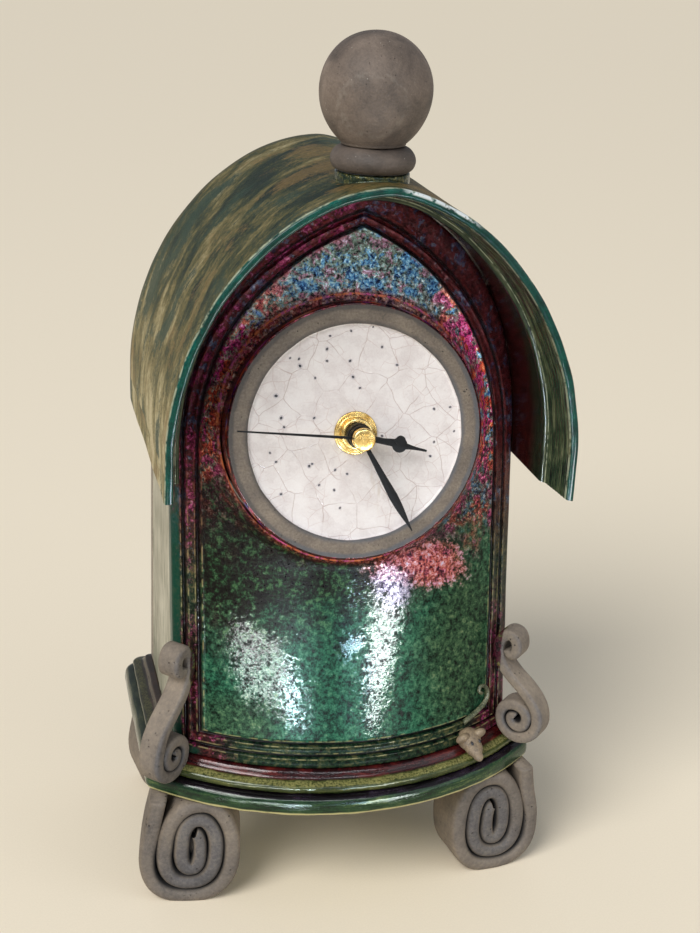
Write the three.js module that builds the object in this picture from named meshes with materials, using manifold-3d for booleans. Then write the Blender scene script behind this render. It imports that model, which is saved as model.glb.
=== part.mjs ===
// Hand-built table clock in smoke-fired clay: a bowed front slab that leans back under an arched roof,
// on a moulded plinth with rolled-strip feet and corner scrolls, driven by a battery movement.
// Millimetres, +Z up, front towards -Y, origin on the table under the middle of the plinth.

import * as THREE from 'three';
import { mergeVertices } from 'three/addons/utils/BufferGeometryUtils.js';
import Module from 'manifold-3d';

const { BoxGeometry, BufferGeometry, ExtrudeGeometry, Float32BufferAttribute, Group, LatheGeometry } = THREE;
const { Mesh, MeshStandardMaterial, Path, Shape, ShapeUtils, SphereGeometry, Vector2, Vector3 } = THREE;

// Clearances
const gap = 0.3;
const runGap = 0.12;

// Feet, each a clay strip rolled into a tall spiral
const footHeight = 46;
const footHalfWidth = 16.7;
const footStrip = 5.7;
const footDepth = 21;
const footTurn = THREE.MathUtils.degToRad(9);
const footTurns = 2.35;
const footRollGap = 0.8;
const footSettle = 0.9;
const footTaper = 0.24;
const footShear = 0.09;
const frontFootSpread = 61;
const rearFootSpread = 56;
const footShift = -0.4;
const frontFootSetback = 18;
const rearFootSetback = 6;

// Plinth, a slab with a narrower moulded step on it
const plinthHalfWidth = 80.5;
const plinthDepth = 126.5;
const plinthBow = 116;
const plinthCorner = 6;
const slabHeight = 7.5;
const stepHeight = 7;
const frontLedge = 9.8;
const rearLedge = 9.8;

// Case
const caseHalfWidth = 69;
const springHeight = 128.6;
const archRise = 93.1;
const archPower = 1.75;
const archCant = 0.04;
const leanAngle = THREE.MathUtils.degToRad(8.5);
const panelThickness = 7;
const wallThickness = 6;
const grooveInset = 9.6;
const grooveSpacing = 5;
const grooveFoot = 5.2;
const grooveApexDrop = 12.3;
const grooveSpringDrop = 7;
const grooveWidth = 1.7;
const grooveDepth = 1.3;

// Access opening in the back
const accessHalfWidth = 40;
const accessSill = 42;
const accessSpring = 114;
const accessRise = 48;

// Roof
const roofThickness = 7.6;
const roofDepth = 121;
const roofRearOverhang = 7.3;
const eaveDrop = 12;
const eaveBevel = 4;
const roofLipShare = 0.36;
const roofCoveShare = 0.72;
const roofCoveDepth = 17;

// Finial
const finialSetback = 25.8;
const finialOffset = -1.2;
const seatRadius = 13.4;
const seatHeight = 1.6;
const collarRadius = 15.2;
const collarHeight = 8.5;
const ballRadius = 19.9;
const ballNeckRadius = 11.4;
const ballNeckHeight = 2.2;

// Corner scrolls
const scrollStrip = 4.4;
const scrollDepth = 9.5;
const leftScrollHeight = 55.5;
const rightScrollHeight = 49;
const rightScrollLift = 3.6;
const scrollLowerRadius = 9.5;
const scrollSet = 2.5;
const scrollUpperRadius = 5.2;
const scrollUpperStretch = 1.45;
const scrollRollGap = 0.5;
const scrollTurn = THREE.MathUtils.degToRad(45);

// Clay mouse on the plinth step
const mouseInset = 20;
const mouseLift = 3;
const mouseHeadLength = 11.4;
const mouseGirth = 8;
const mouseEar = 2.3;
const mouseTurn = THREE.MathUtils.degToRad(21);
const mouseNod = THREE.MathUtils.degToRad(33);
const tailRadius = 1;

// Dial, a shallow drum set through the front slab
const dialRadius = 49;
const dialHeight = 134.6;
const dialOffset = -3.2;
const dialProud = 5.3;
const dialDepth = 24;
const dialWall = 5;
const dialRing = 6;
const dialEdge = 2.1;
const dialSink = 2;
const dialFloor = 6;

// Hand fixings
const bushRadius = 4;
const bushWall = 1.2;
const brassWasherRadius = 8.2;
const brassWasherThickness = 0.8;
const nutRadius = 6.1;
const nutHeight = 2.4;
const hourTubeWall = 0.75;
const minuteTubeWall = 0.7;
const hourHubRadius = 4.7;
const minuteHubRadius = 4.4;
const hourHubHeight = 3;
const minuteHubHeight = 2.6;
const handThickness = 0.6;
const capRadius = 4.25;
const capHeight = 3.2;
const hourHandLength = 26.8;
const hourArmHalfWidth = 1.15;
const hourLobeAt = 16;
const hourLobeRadius = 2.9;
const minuteHandLength = 41.5;
const minuteLeafAt = 26;
const minuteLeafHalfWidth = 1.7;
const minuteRootHalfWidth = 0.7;
const secondsHandLength = 46.5;
const secondsRootHalfWidth = 0.55;
const secondsTipHalfWidth = 0.25;
const secondsColletRadius = 2.2;
const secondsTailLength = 14.5;
const secondsWeightRadius = 1.9;
const handGrip = 0.08;

// Movement
const movementSize = 56;
const movementCorner = 4;
const movementDepth = 17;
const movementWall = 1.6;
const frontShellDepth = 10;
const rubberWasherThickness = 1;
const rubberWasherRadius = 12;
const batteryRadius = 7.2;
const batteryLength = 49;
const batteryNub = 1.2;
const batteryNubRadius = 2.7;
const contactThickness = 0.5;
const contactHalfWidth = 5;
const bayClearance = 0.4;
const bayWall = 0.8;
const knobRadius = 6;
const knobHeight = 4.5;
const knobRibs = 14;
const arborRadius = 1.1;

// Motion work: minute pinion, transfer wheel and its pinion, hour wheel
const wheelThickness = 1.2;
const wheelModule = 0.6;
const minuteTeeth = 10;
const transferWheelTeeth = 30;
const transferPinionTeeth = 8;
const hourTeeth = 32;
const toothBacklash = 0.12;

// Time shown at rest, as turns clockwise from twelve
const minuteShown = 25.2 / 60;
const hourShown = (3.06 + minuteShown) / 12;
const secondsShown = 45.9 / 60;

// Heights and depths that follow from the sizes above
const slabBase = footHeight + gap;
const stepBase = slabBase + slabHeight + gap;
const caseBase = stepBase + stepHeight + gap;
const plinthFront = -plinthDepth / 2;
const plinthRear = plinthDepth / 2;
const bowCentre = plinthFront + plinthBow;
const panelBow = plinthBow - frontLedge;
const leanSlope = Math.tan(leanAngle);
const springZ = caseBase + springHeight;
const caseRear = plinthRear - rearLedge;
const caseTop = springZ + archRise;
const roofInset = -gap - roofThickness;
const roofRear = caseRear + roofRearOverhang;
const roofFront = roofRear - roofDepth;
const roofTop = caseTop - roofInset;
const dialZ = caseBase + dialHeight;
const mouseX = caseHalfWidth - mouseInset;

const wasm = await Module();
wasm.setup();

// Geometry from a flat list of coordinates and triangle corners, turned so that its faces point out
function closedBody(positions, index) {
  let volume = 0;
  const corner = (at) => new Vector3().fromArray(positions, 3 * at);
  for (let at = 0; at < index.length; at += 3) {
    const first = corner(index[at]);
    volume += first.dot(corner(index[at + 1]).cross(corner(index[at + 2])));
  }
  const geometry = new BufferGeometry();
  geometry.setAttribute('position', new Float32BufferAttribute(positions, 3));
  geometry.setIndex(volume < 0 ? index.reverse() : index);
  return geometry;
}

// Triangles that fill a flat outline, wound the same way as the outline
function capFaces(outline) {
  const sense = Math.sign(ShapeUtils.area(outline));
  return ShapeUtils.triangulateShape(outline, []).map((face) => {
    const turned = ShapeUtils.area(face.map((at) => outline[at])) * sense;
    return turned > 0 ? face : [face[0], face[2], face[1]];
  });
}

// Skins a row of equal rings; the row closes on itself, or its end rings are capped
function skin(rings, outline = null) {
  const count = rings[0].length;
  const rows = outline ? rings.length - 1 : rings.length;
  const index = [];
  for (let row = 0; row < rows; row += 1) {
    const near = row * count;
    const far = ((row + 1) % rings.length) * count;
    for (let column = 0; column < count; column += 1) {
      const next = (column + 1) % count;
      index.push(near + column, near + next, far + next);
      index.push(near + column, far + next, far + column);
    }
  }
  if (outline) {
    const last = (rings.length - 1) * count;
    for (const [a, b, c] of capFaces(outline)) {
      index.push(a, c, b, last + a, last + b, last + c);
    }
  }
  return closedBody(rings.flat().flatMap((point) => point.toArray()), index);
}

function toSolid(geometry) {
  const bare = geometry.clone();
  bare.deleteAttribute('normal');
  bare.deleteAttribute('uv');
  const merged = mergeVertices(bare, 1e-4);
  const vertProperties = Float32Array.from(merged.attributes.position.array);
  const triVerts = Uint32Array.from(merged.index.array);
  return new wasm.Manifold(new wasm.Mesh({ numProp: 3, vertProperties, triVerts }));
}

function fromSolid(solid) {
  const mesh = solid.getMesh();
  return closedBody(Array.from(mesh.vertProperties), Array.from(mesh.triVerts));
}

function cut(geometry, ...tools) {
  return fromSolid(tools.reduce((solid, tool) => solid.subtract(toSolid(tool)), toSolid(geometry)));
}

function join(geometry, ...others) {
  return fromSolid(others.reduce((solid, other) => solid.add(toSolid(other)), toSolid(geometry)));
}

// Revolved profile of [radius, height] pairs about local Y; a profile off the axis is closed on itself
function turned(profile, segments = 40) {
  const points = profile.map(([radius, height]) => new Vector2(radius, height));
  if (profile[0][0] > 0) {
    points.push(points[0].clone());
  }
  const lathe = new LatheGeometry(points, segments);
  lathe.deleteAttribute('normal');
  lathe.deleteAttribute('uv');
  const merged = mergeVertices(lathe, 1e-4);
  const corners = merged.index.array;
  const index = [];
  for (let at = 0; at < corners.length; at += 3) {
    const [a, b, c] = corners.slice(at, at + 3);
    if (a !== b && b !== c && c !== a) {
      index.push(a, b, c);
    }
  }
  return closedBody(Array.from(merged.attributes.position.array), index);
}

function tube(inner, outer, low, high, segments = 20) {
  return turned([[inner, low], [outer, low], [outer, high], [inner, high]], segments);
}

function rod(radius, low, high, segments = 24) {
  return turned([[0, low], [radius, low], [radius, high], [0, high]], segments);
}

// Flat outline pushed along local Y from low to high, with the outline's up along local -Z
function plate(shape, low, high, curveSegments = 5) {
  const geometry = new ExtrudeGeometry(shape, { depth: high - low, bevelEnabled: false, curveSegments });
  geometry.rotateX(-Math.PI / 2);
  return geometry.translate(0, low, 0);
}

function roundedSquare(halfX, halfY, radius) {
  const shape = new Shape();
  shape.moveTo(halfX, -halfY + radius);
  shape.absarc(halfX - radius, halfY - radius, radius, 0, Math.PI / 2);
  shape.absarc(-halfX + radius, halfY - radius, radius, Math.PI / 2, Math.PI);
  shape.absarc(-halfX + radius, -halfY + radius, radius, Math.PI, 1.5 * Math.PI);
  shape.absarc(halfX - radius, -halfY + radius, radius, 1.5 * Math.PI, 2 * Math.PI);
  return shape;
}

function rectangle(left, bottom, right, top) {
  const corners = [[left, bottom], [right, bottom], [right, top], [left, top]];
  return new Shape(corners.map((at) => new Vector2(...at)));
}

function spread(count, make) {
  return Array.from({ length: count + 1 }, (_, step) => make(step / count));
}

// Plinth outline seen from above, drawn in by an inset: bowed front, straight sides, rounded corners
function plinthOutline(inset) {
  const half = plinthHalfWidth - inset;
  const bow = plinthBow - inset;
  const radius = Math.max(plinthCorner - inset / 2, 1);
  const cornerX = half - radius;
  const frontY = bowCentre - Math.sqrt((bow - radius) ** 2 - cornerX ** 2);
  const rearY = plinthRear - inset - radius;
  const turn = Math.atan2(frontY - bowCentre, cornerX);
  const arc = (x, y, reach, from, to, count) => spread(count, (share) => {
    const angle = from + (to - from) * share;
    return new Vector2(x + reach * Math.cos(angle), y + reach * Math.sin(angle));
  });
  return [
    ...arc(0, bowCentre, bow, -Math.PI - turn, turn, 18).slice(1, -1),
    ...arc(cornerX, frontY, radius, turn, 0, 3),
    ...arc(cornerX, rearY, radius, 0, Math.PI / 2, 3),
    ...arc(-cornerX, rearY, radius, Math.PI / 2, Math.PI, 3),
    ...arc(-cornerX, frontY, radius, -Math.PI, -Math.PI - turn, 3),
  ];
}

// Stack of plinth outlines from [height, inset] pairs
function plinthLayer(base, moulding) {
  const rings = moulding.map(([height, inset]) => plinthOutline(inset)
    .map((point) => new Vector3(point.x, point.y, base + height)));
  return skin(rings, plinthOutline(moulding[0][1]));
}

const slabMoulding = [[0, 1], [1.2, 0], [slabHeight - 2.4, 0.3], [slabHeight - 0.8, 1.3], [slabHeight, 3]];
const stepMoulding = [
  [0, 4.2], [0.6, 3.5], [2.4, 3.4], [3.4, 4.4], [3.8, 6.4], [4.6, 7.8], [stepHeight, frontLedge - 0.6],
];

// Rolled foot: a strip wound outwards from its eye, narrower at the top, flattened where it stands
// and where it carries the slab
function rolledFoot(centreX, centreY, side, turn) {
  const pitch = footStrip + footRollGap;
  const tall = (footHeight - footStrip + pitch) / 2 + footSettle;
  const centreZ = footStrip / 2 + tall - pitch / 4 - footSettle;
  const squared = (share) => Math.sign(share) * Math.abs(share) ** 0.85;
  const steps = Math.round(footTurns * 13);
  const path = spread(steps, (share) => {
    const back = (1 - share) * footTurns;
    const angle = Math.PI * (1 + 2 * back);
    const wide = footHalfWidth - back * pitch + pitch / 4;
    return new Vector2(wide * squared(Math.cos(angle)), (tall - back * pitch) * squared(Math.sin(angle)));
  });
  const end = path[steps].x;
  path.push(new Vector2(end, 10), new Vector2(end, footHeight + footSettle - centreZ));
  for (const point of path) {
    point.x = point.x * (1 - footTaper * point.y / footHeight) + footShear * point.y;
    point.y += centreZ;
  }
  const place = (across, depth, height) => new Vector3(
    centreX + side * (across * Math.cos(turn) + depth * Math.sin(turn)),
    centreY + depth * Math.cos(turn) - across * Math.sin(turn),
    height,
  );
  const room = 2 * footHeight;
  const floor = new BoxGeometry(room, room, room).translate(centreX, centreY, -room / 2);
  const ceiling = floor.clone().translate(0, 0, room + footHeight);
  return cut(ribbon(path, footStrip, footDepth, place), floor, ceiling);
}

// Strip with softened edges along a flat path; place maps across, depth and height into the frame
function ribbon(path, thickness, depth, place) {
  const soft = thickness * 0.28;
  const halfT = thickness / 2;
  const halfD = depth / 2;
  const section = [
    [halfT, -halfD + soft], [halfT, halfD - soft], [halfT - soft, halfD], [-halfT + soft, halfD],
    [-halfT, halfD - soft], [-halfT, -halfD + soft], [-halfT + soft, -halfD], [halfT - soft, -halfD],
  ].map((at) => new Vector2(...at));
  const rings = path.map((point, at) => {
    const before = path[Math.max(at - 1, 0)];
    const after = path[Math.min(at + 1, path.length - 1)];
    const along = after.clone().sub(before).normalize();
    return section.map((corner) => place(
      point.x + along.y * corner.x,
      corner.y,
      point.y - along.x * corner.x,
    ));
  });
  return skin(rings, section);
}

// Front surface of the bowed slab that leans back
function panelFace(x, z) {
  const bowed = bowCentre - Math.sqrt(panelBow ** 2 - x ** 2);
  return bowed + (z - caseBase) * leanSlope;
}

// Height of an arch drawn in from the case's top edge by an inset, below which pieces fit
function archHeight(inset, x) {
  const share = Math.min(Math.abs(x) / (caseHalfWidth - inset), 1);
  return springZ + (archRise - inset) * Math.sqrt(1 - share ** archPower) - archCant * x;
}

// Bowed leaning slab between two offsets from the front face, from a low edge to a top edge
function bowedSlab(halfWidth, nearOffset, farOffset, low, top, count = 26) {
  const outline = [[0, 0], [1, 0], [1, 1], [0, 1]].map((at) => new Vector2(...at));
  const rings = spread(count, (share) => {
    const x = halfWidth * Math.sin(Math.PI * (share - 0.5));
    return outline.map((corner) => {
      const z = corner.y ? top(x) : low;
      return new Vector3(x, panelFace(x, z) + (corner.x ? farOffset : nearOffset), z);
    });
  });
  return skin(rings, outline);
}

// Closed path of an incised border: straight foot and sides under a pointed arch of two arcs
function borderPath(outward) {
  const half = caseHalfWidth - grooveInset + outward;
  const foot = caseBase + grooveFoot + grooveSpacing - outward;
  const spring = springZ - grooveSpringDrop;
  const rise = caseTop - grooveApexDrop + outward * 0.8 - spring;
  const reach = (half ** 2 + rise ** 2) / (2 * half);
  const start = Math.acos((reach - half) / reach);
  const arcSide = (side) => spread(10, (share) => {
    const angle = start * share;
    const x = side * (reach * Math.cos(angle) - (reach - half));
    return new Vector2(x, spring + reach * Math.sin(angle) - archCant * x);
  });
  return [
    ...spread(10, (share) => new Vector2(half * (2 * share - 1), foot)),
    ...arcSide(1),
    ...arcSide(-1).reverse().slice(1),
  ];
}

// Channel that follows a border path along the bowed face
function borderChannel(outward) {
  const path = borderPath(outward);
  const rings = path.map((point, at) => {
    const before = path[(at + path.length - 1) % path.length];
    const after = path[(at + 1) % path.length];
    const inward = point.clone().sub(before).normalize();
    const onward = after.clone().sub(point).normalize();
    const along = inward.clone().add(onward).normalize();
    const reach = grooveWidth / 2 / Math.max(along.dot(onward), 0.5);
    return [[1, -2], [1, grooveDepth], [-1, grooveDepth], [-1, -2]].map(([side, offset]) => {
      const x = point.x + side * reach * along.y;
      const z = point.y - side * reach * along.x;
      return new Vector3(x, panelFace(x, z) + offset, z);
    });
  });
  return skin(rings);
}

// Dial frame: local Y points out of the face, local -Z up the face
const dial = new Group();
dial.position.set(dialOffset, panelFace(0, dialZ) - dialProud, dialZ);
dial.rotation.x = Math.PI - leanAngle;
dial.updateMatrix();

function frontPanel() {
  const slab = bowedSlab(caseHalfWidth, 0, panelThickness, caseBase, (x) => archHeight(0, x));
  const hole = rod(dialRadius + gap, -2 * dialDepth, dialDepth, 44).applyMatrix4(dial.matrix);
  return cut(slab, borderChannel(0), borderChannel(grooveSpacing), hole);
}

// Side wall from the back of the front slab to the back slab, trimmed under the arch
function sideWall(side) {
  const outer = caseHalfWidth;
  const inner = caseHalfWidth - wallThickness;
  const edge = spread(5, (share) => new Vector2(
    side * (outer + (inner - outer) * share),
    archHeight(0, side * (outer + (inner - outer) * share)),
  ));
  const outline = [new Vector2(side * inner, caseBase), new Vector2(side * outer, caseBase), ...edge];
  const wallRear = caseRear - wallThickness - gap;
  const rings = [plinthFront, wallRear].map((y) => outline.map((point) => new Vector3(point.x, y, point.y)));
  const reach = panelThickness + gap;
  const band = bowedSlab(caseHalfWidth + 4, -plinthDepth, reach, caseBase - 9, () => caseTop + 9);
  return cut(skin(rings, outline), band);
}

function backPanel() {
  const outline = [
    new Vector2(-caseHalfWidth, caseBase),
    new Vector2(caseHalfWidth, caseBase),
    ...spread(32, (share) => {
      const x = caseHalfWidth * Math.cos(Math.PI * share);
      return new Vector2(x, archHeight(0, x));
    }),
  ];
  const opening = new Path();
  const spring = caseBase + accessSpring;
  opening.moveTo(-accessHalfWidth, caseBase + accessSill);
  opening.lineTo(accessHalfWidth, caseBase + accessSill);
  opening.lineTo(accessHalfWidth, spring);
  opening.absellipse(0, spring, accessHalfWidth, accessRise, 0, Math.PI);
  const shape = new Shape(outline);
  shape.holes.push(opening);
  const depth = wallThickness;
  const geometry = new ExtrudeGeometry(shape, { depth, bevelEnabled: false, curveSegments: 14 });
  return geometry.rotateX(Math.PI / 2).translate(0, caseRear, 0);
}

// Point on an arch line at an inset from the case's top edge; angle runs from the right spring to the left
function archPoint(inset, angle) {
  const reach = Math.abs(Math.cos(angle)) ** (2 / archPower);
  const x = (caseHalfWidth - inset) * Math.sign(Math.cos(angle)) * reach;
  return new Vector2(x, springZ + (archRise - inset) * Math.sin(angle) - archCant * x);
}

// Roof slab: one moulded section carried along the arch, with eaves cut on a bevel
function roofSlab() {
  const coveRear = roofFront + roofCoveDepth;
  const section = [
    [0, roofRear], [0, roofFront + 1.2], [0.07, roofFront], [roofLipShare - 0.04, roofFront + 0.3],
    [roofLipShare, roofFront + 1.4], [roofCoveShare, coveRear], [0.94, coveRear + 0.5], [1, coveRear + 1.6],
    [1, roofRear],
  ].map((at) => new Vector2(...at));
  const drop = new Vector2(0, -eaveDrop);
  const innerDrop = new Vector2(0, eaveBevel - eaveDrop);
  const stations = [
    { angle: 0, outer: drop, inner: innerDrop },
    ...spread(38, (share) => ({ angle: Math.PI * share, outer: new Vector2(), inner: new Vector2() })),
    { angle: Math.PI, outer: drop, inner: innerDrop },
  ];
  const rings = stations.map(({ angle, outer, inner }) => {
    const from = archPoint(roofInset, angle).add(outer);
    const to = archPoint(-gap, angle).add(inner);
    return section.map((corner) => {
      const at = from.clone().lerp(to, corner.x);
      return new Vector3(at.x, corner.y, at.y);
    });
  });
  return skin(rings, section);
}

// Glazed seat, trimmed to the ridge that it stands on
function finialSeat() {
  const base = roofTop - 4;
  const top = roofTop + seatHeight;
  const seat = turned([
    [0, base], [seatRadius + 1.4, base], [seatRadius + 0.4, roofTop], [seatRadius - 0.2, top - 0.5],
    [seatRadius - 0.8, top], [0, top],
  ], 28).rotateX(Math.PI / 2).translate(finialOffset, finialY, 0);
  const ridge = spread(16, (share) => archPoint(roofInset - gap, Math.PI * (0.25 + 0.5 * share)));
  const under = [...ridge, new Vector2(-caseHalfWidth, springZ), new Vector2(caseHalfWidth, springZ)];
  const rings = [roofFront, roofRear].map((y) => under.map((point) => new Vector3(point.x, y, point.y)));
  return cut(seat, skin(rings, under));
}

const finialY = roofFront + finialSetback;
const collarBase = roofTop + seatHeight + gap;
const ballBase = collarBase + collarHeight + gap;
const ballLift = Math.sqrt(ballRadius ** 2 - ballNeckRadius ** 2);

function standing(profile, segments) {
  return turned(profile, segments).rotateX(Math.PI / 2);
}

// Fat ring between the seat and the ball, fullest below its middle, as shares of its radius and height
function finialCollar() {
  const bulge = [[0.85, 0], [0.95, 0.14], [1, 0.38], [0.97, 0.62], [0.88, 0.85], [0.74, 1]];
  const round = bulge.map(([across, up]) => [across * collarRadius, up * collarHeight]);
  return standing([[0, 0], ...round, [0, collarHeight]], 24);
}

// Ball on a short neck that stands on the collar
function finialBall() {
  const start = -Math.asin(ballLift / ballRadius);
  const round = spread(12, (share) => {
    const angle = start + (Math.PI / 2 - start) * share;
    const up = ballNeckHeight + ballLift + ballRadius * Math.sin(angle);
    return [Math.max(ballRadius * Math.cos(angle), 0), up];
  });
  round[round.length - 1][0] = 0;
  return standing([[0, 0], [ballNeckRadius - 0.3, 0], ...round], 24);
}

// Scroll strip: lower curl on the plinth, an arm, and a smaller curl against the case corner
function scrollPath(height) {
  const pitch = scrollStrip + scrollRollGap;
  const half = scrollStrip / 2;
  const tall = scrollUpperStretch * (scrollUpperRadius - pitch / 4);
  const lower = new Vector2(0, half + scrollLowerRadius - pitch / 4);
  const upper = new Vector2(scrollUpperRadius - scrollLowerRadius - 1, height - half - tall);
  const curl = (centre, radius, exit, stretch) => {
    const turns = (radius - half) / pitch;
    return spread(Math.round(turns * 12), (share) => {
      const back = (1 - share) * turns;
      const angle = exit - back * 2 * Math.PI;
      const reach = radius - back * pitch;
      return new Vector2(centre.x + reach * Math.cos(angle), centre.y + stretch * reach * Math.sin(angle));
    });
  };
  const rising = curl(lower, scrollLowerRadius, 0, 1);
  const falling = curl(upper, scrollUpperRadius, Math.PI, scrollUpperStretch).reverse();
  const from = rising[rising.length - 1];
  const to = falling[0];
  const bend = (to.y - from.y) * 0.5;
  const arm = new THREE.CubicBezierCurve(
    from,
    new Vector2(from.x, from.y + bend),
    new Vector2(to.x, to.y - bend),
    to,
  );
  return [...rising, ...arm.getPoints(8).slice(1, -1), ...falling];
}

// Scrolls stand out from each front corner of the case, the lower curl close against the slab
function scrollCentre(lift) {
  const cornerX = caseHalfWidth - scrollSet;
  const reach = scrollLowerRadius - scrollRollGap / 2 + gap;
  const lowest = stepBase + gap + lift;
  return new Vector3(
    cornerX + reach * Math.cos(scrollTurn),
    panelFace(cornerX, lowest + scrollLowerRadius) - reach * Math.sin(scrollTurn),
    lowest,
  );
}

function cornerScroll(side, height, lift) {
  const centre = scrollCentre(lift);
  const outX = Math.cos(scrollTurn);
  const outY = -Math.sin(scrollTurn);
  return ribbon(scrollPath(height), scrollStrip, scrollDepth, (across, depth, rise) => new Vector3(
    side * (centre.x + outX * across - outY * depth),
    centre.y + outY * across + outX * depth,
    centre.z + rise,
  ));
}

// Plinth step, with a seat pressed into each front corner for the foot of a scroll
function plinthStep() {
  const reach = scrollLowerRadius + scrollStrip / 2;
  const halfDepth = scrollDepth / 2 + gap;
  const seat = (side, lift) => {
    const centre = scrollCentre(lift);
    const height = centre.z + reach - scrollStrip / 4;
    const tool = rod(reach + gap, -halfDepth, halfDepth, 28).rotateZ(-side * scrollTurn);
    return tool.translate(side * centre.x, centre.y, height);
  };
  return cut(plinthLayer(stepBase, stepMoulding), seat(-1, 0), seat(1, rightScrollLift));
}

// Mouse peeping over the step: head and ears joined, trimmed clear of the step and the slab behind it
function mouse() {
  const half = mouseGirth / 2;
  const long = mouseHeadLength;
  const head = turned([
    [0, -long * 0.2], [half * 0.8, -long * 0.12], [half, long * 0.12], [half * 0.86, long * 0.36],
    [half * 0.36, long * 0.82], [0, long],
  ], 12).rotateX(Math.PI);
  const ear = (side) => new SphereGeometry(mouseEar, 10, 7).scale(1, 0.5, 1)
    .translate(side * half * 0.85, -long * 0.06, half * 0.8);
  const body = join(head, ear(1), ear(-1)).rotateX(mouseNod).rotateZ(mouseTurn);
  const y = bowCentre - Math.sqrt((panelBow + 0.8) ** 2 - mouseX ** 2);
  body.translate(mouseX, y, stepBase + stepHeight + mouseLift);
  const clearMoulding = stepMoulding.map(([height, inset]) => [height, inset - gap]);
  const [topHeight, topInset] = clearMoulding[clearMoulding.length - 1];
  const ledgeBody = plinthLayer(stepBase, [...clearMoulding, [topHeight + gap, topInset]]);
  const slabBody = bowedSlab(caseHalfWidth, -gap, panelThickness, caseBase - 9, () => springZ);
  return cut(body, ledgeBody, slabBody);
}

// Tail laid on the slab, rising from the mouse to a small curl
function mouseTail() {
  const lift = tailRadius + gap;
  const flat = [
    [0.5, -1.2], [3.8, 0], [7, 1.2], [10, 2.6], [12, 4.4],
    [12.6, 7], [11.2, 10], [8.8, 11.2], [8, 9.4], [9.8, 7.6],
  ];
  const points = flat.map(([across, up]) => {
    const x = mouseX - 3 + across;
    const z = caseBase + grooveFoot + 5.5 + up;
    const tilt = x / panelBow;
    return new Vector3(x + lift * tilt, panelFace(x, z) - lift * Math.sqrt(1 - tilt ** 2) - 0.1, z);
  });
  const round = new Shape();
  round.absarc(0, 0, tailRadius, 0, 2 * Math.PI);
  const extrudePath = new THREE.CatmullRomCurve3(points);
  return new ExtrudeGeometry(round, { steps: 16, bevelEnabled: false, curveSegments: 3, extrudePath });
}

// Dial drum: flat bare ring round a sunk face, hollow behind for the movement
const faceY = -dialSink;
const floorY = faceY - dialFloor;
const faceRadius = dialRadius - dialEdge - dialRing;

function dialPlate() {
  const boreRadius = bushRadius + gap;
  const cup = dialRadius - dialWall;
  return turned([
    [boreRadius, faceY], [faceRadius - 0.4, faceY], [faceRadius, faceY + 0.4], [faceRadius, -0.3],
    [faceRadius + 0.4, 0], [dialRadius - dialEdge, 0], [dialRadius - dialEdge * 0.3, -dialEdge * 0.3],
    [dialRadius, -dialEdge], [dialRadius, -dialDepth], [cup, -dialDepth], [cup, floorY], [boreRadius, floorY],
  ], 48);
}

// Stack of fixings and hands along the dial axis
const brassBase = faceY + gap;
const nutBase = brassBase + brassWasherThickness + gap;
const nutTop = nutBase + nutHeight;
const bushTop = nutTop + 0.6;
const hourTubeRadius = bushRadius - bushWall - runGap;
const minuteTubeRadius = hourTubeRadius - hourTubeWall - runGap;
const secondsRadius = minuteTubeRadius - minuteTubeWall - runGap;
const hourHubBase = bushTop + gap;
const hourHubTop = hourHubBase + hourHubHeight;
const minuteHubBase = hourHubTop + gap;
const minuteHubTop = minuteHubBase + minuteHubHeight;
const secondsBase = minuteHubTop + gap;
const secondsTop = secondsBase + handThickness;
const capBase = secondsTop + gap;

// Depths of the movement along the same axis, all behind the dial
const rubberTop = floorY - gap;
const movementFront = rubberTop - rubberWasherThickness - gap;
const shellInner = movementFront - movementWall;
const shellRear = movementFront - frontShellDepth;
const coverRear = movementFront - movementDepth;
const coverInner = coverRear + movementWall;
const hourWheelFront = shellInner - gap;
const hourWheelRear = hourWheelFront - wheelThickness;
const minuteWheelFront = hourWheelRear - 2 * gap;
const minuteWheelRear = minuteWheelFront - wheelThickness;
const motorFront = minuteWheelRear - gap;
const movementHalf = movementSize / 2;
const batteryY = (shellInner + coverInner) / 2 - 1;
const batteryV = -movementHalf + movementWall + bayClearance + batteryRadius;
const bayTop = batteryV + batteryRadius + bayClearance;
const centreDistance = wheelModule * (minuteTeeth + transferWheelTeeth) / 2;
const hourModule = 2 * centreDistance / (hourTeeth + transferPinionTeeth);

// Spur wheel outline: each tooth is a flank pair that narrows from its root to its tip
function gearShape(teeth, module, boreRadius, firstTooth) {
  const pitch = module * teeth / 2;
  const base = pitch * Math.cos(Math.PI / 9);
  const involute = (radius) => {
    const angle = Math.acos(Math.min(base / radius, 1));
    return Math.tan(angle) - angle;
  };
  const halfTooth = (Math.PI * module / 2 - toothBacklash) / 2 / pitch;
  const points = [];
  for (let tooth = 0; tooth < teeth; tooth += 1) {
    const centre = firstTooth + tooth * 2 * Math.PI / teeth;
    const flank = [[-1, -1.2], [-1, 0.85], [1, 0.85], [1, -1.2]];
    for (const [side, height] of flank) {
      const radius = pitch + height * module;
      const spreadAngle = halfTooth + involute(pitch) - involute(radius);
      const angle = centre + side * spreadAngle;
      points.push(new Vector2(radius * Math.cos(angle), radius * Math.sin(angle)));
    }
  }
  const shape = new Shape(points);
  if (boreRadius > 0) {
    const bore = new Path();
    bore.absarc(0, 0, boreRadius, 0, 2 * Math.PI);
    shape.holes.push(bore);
  }
  return shape;
}

const up = Math.PI / 2;

function hourWheel() {
  const bore = minuteTubeRadius + runGap;
  const wheel = plate(gearShape(hourTeeth, hourModule, bore, up), hourWheelRear, hourWheelFront);
  return join(wheel, tube(bore, hourTubeRadius, hourWheelRear, hourHubTop));
}

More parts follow.
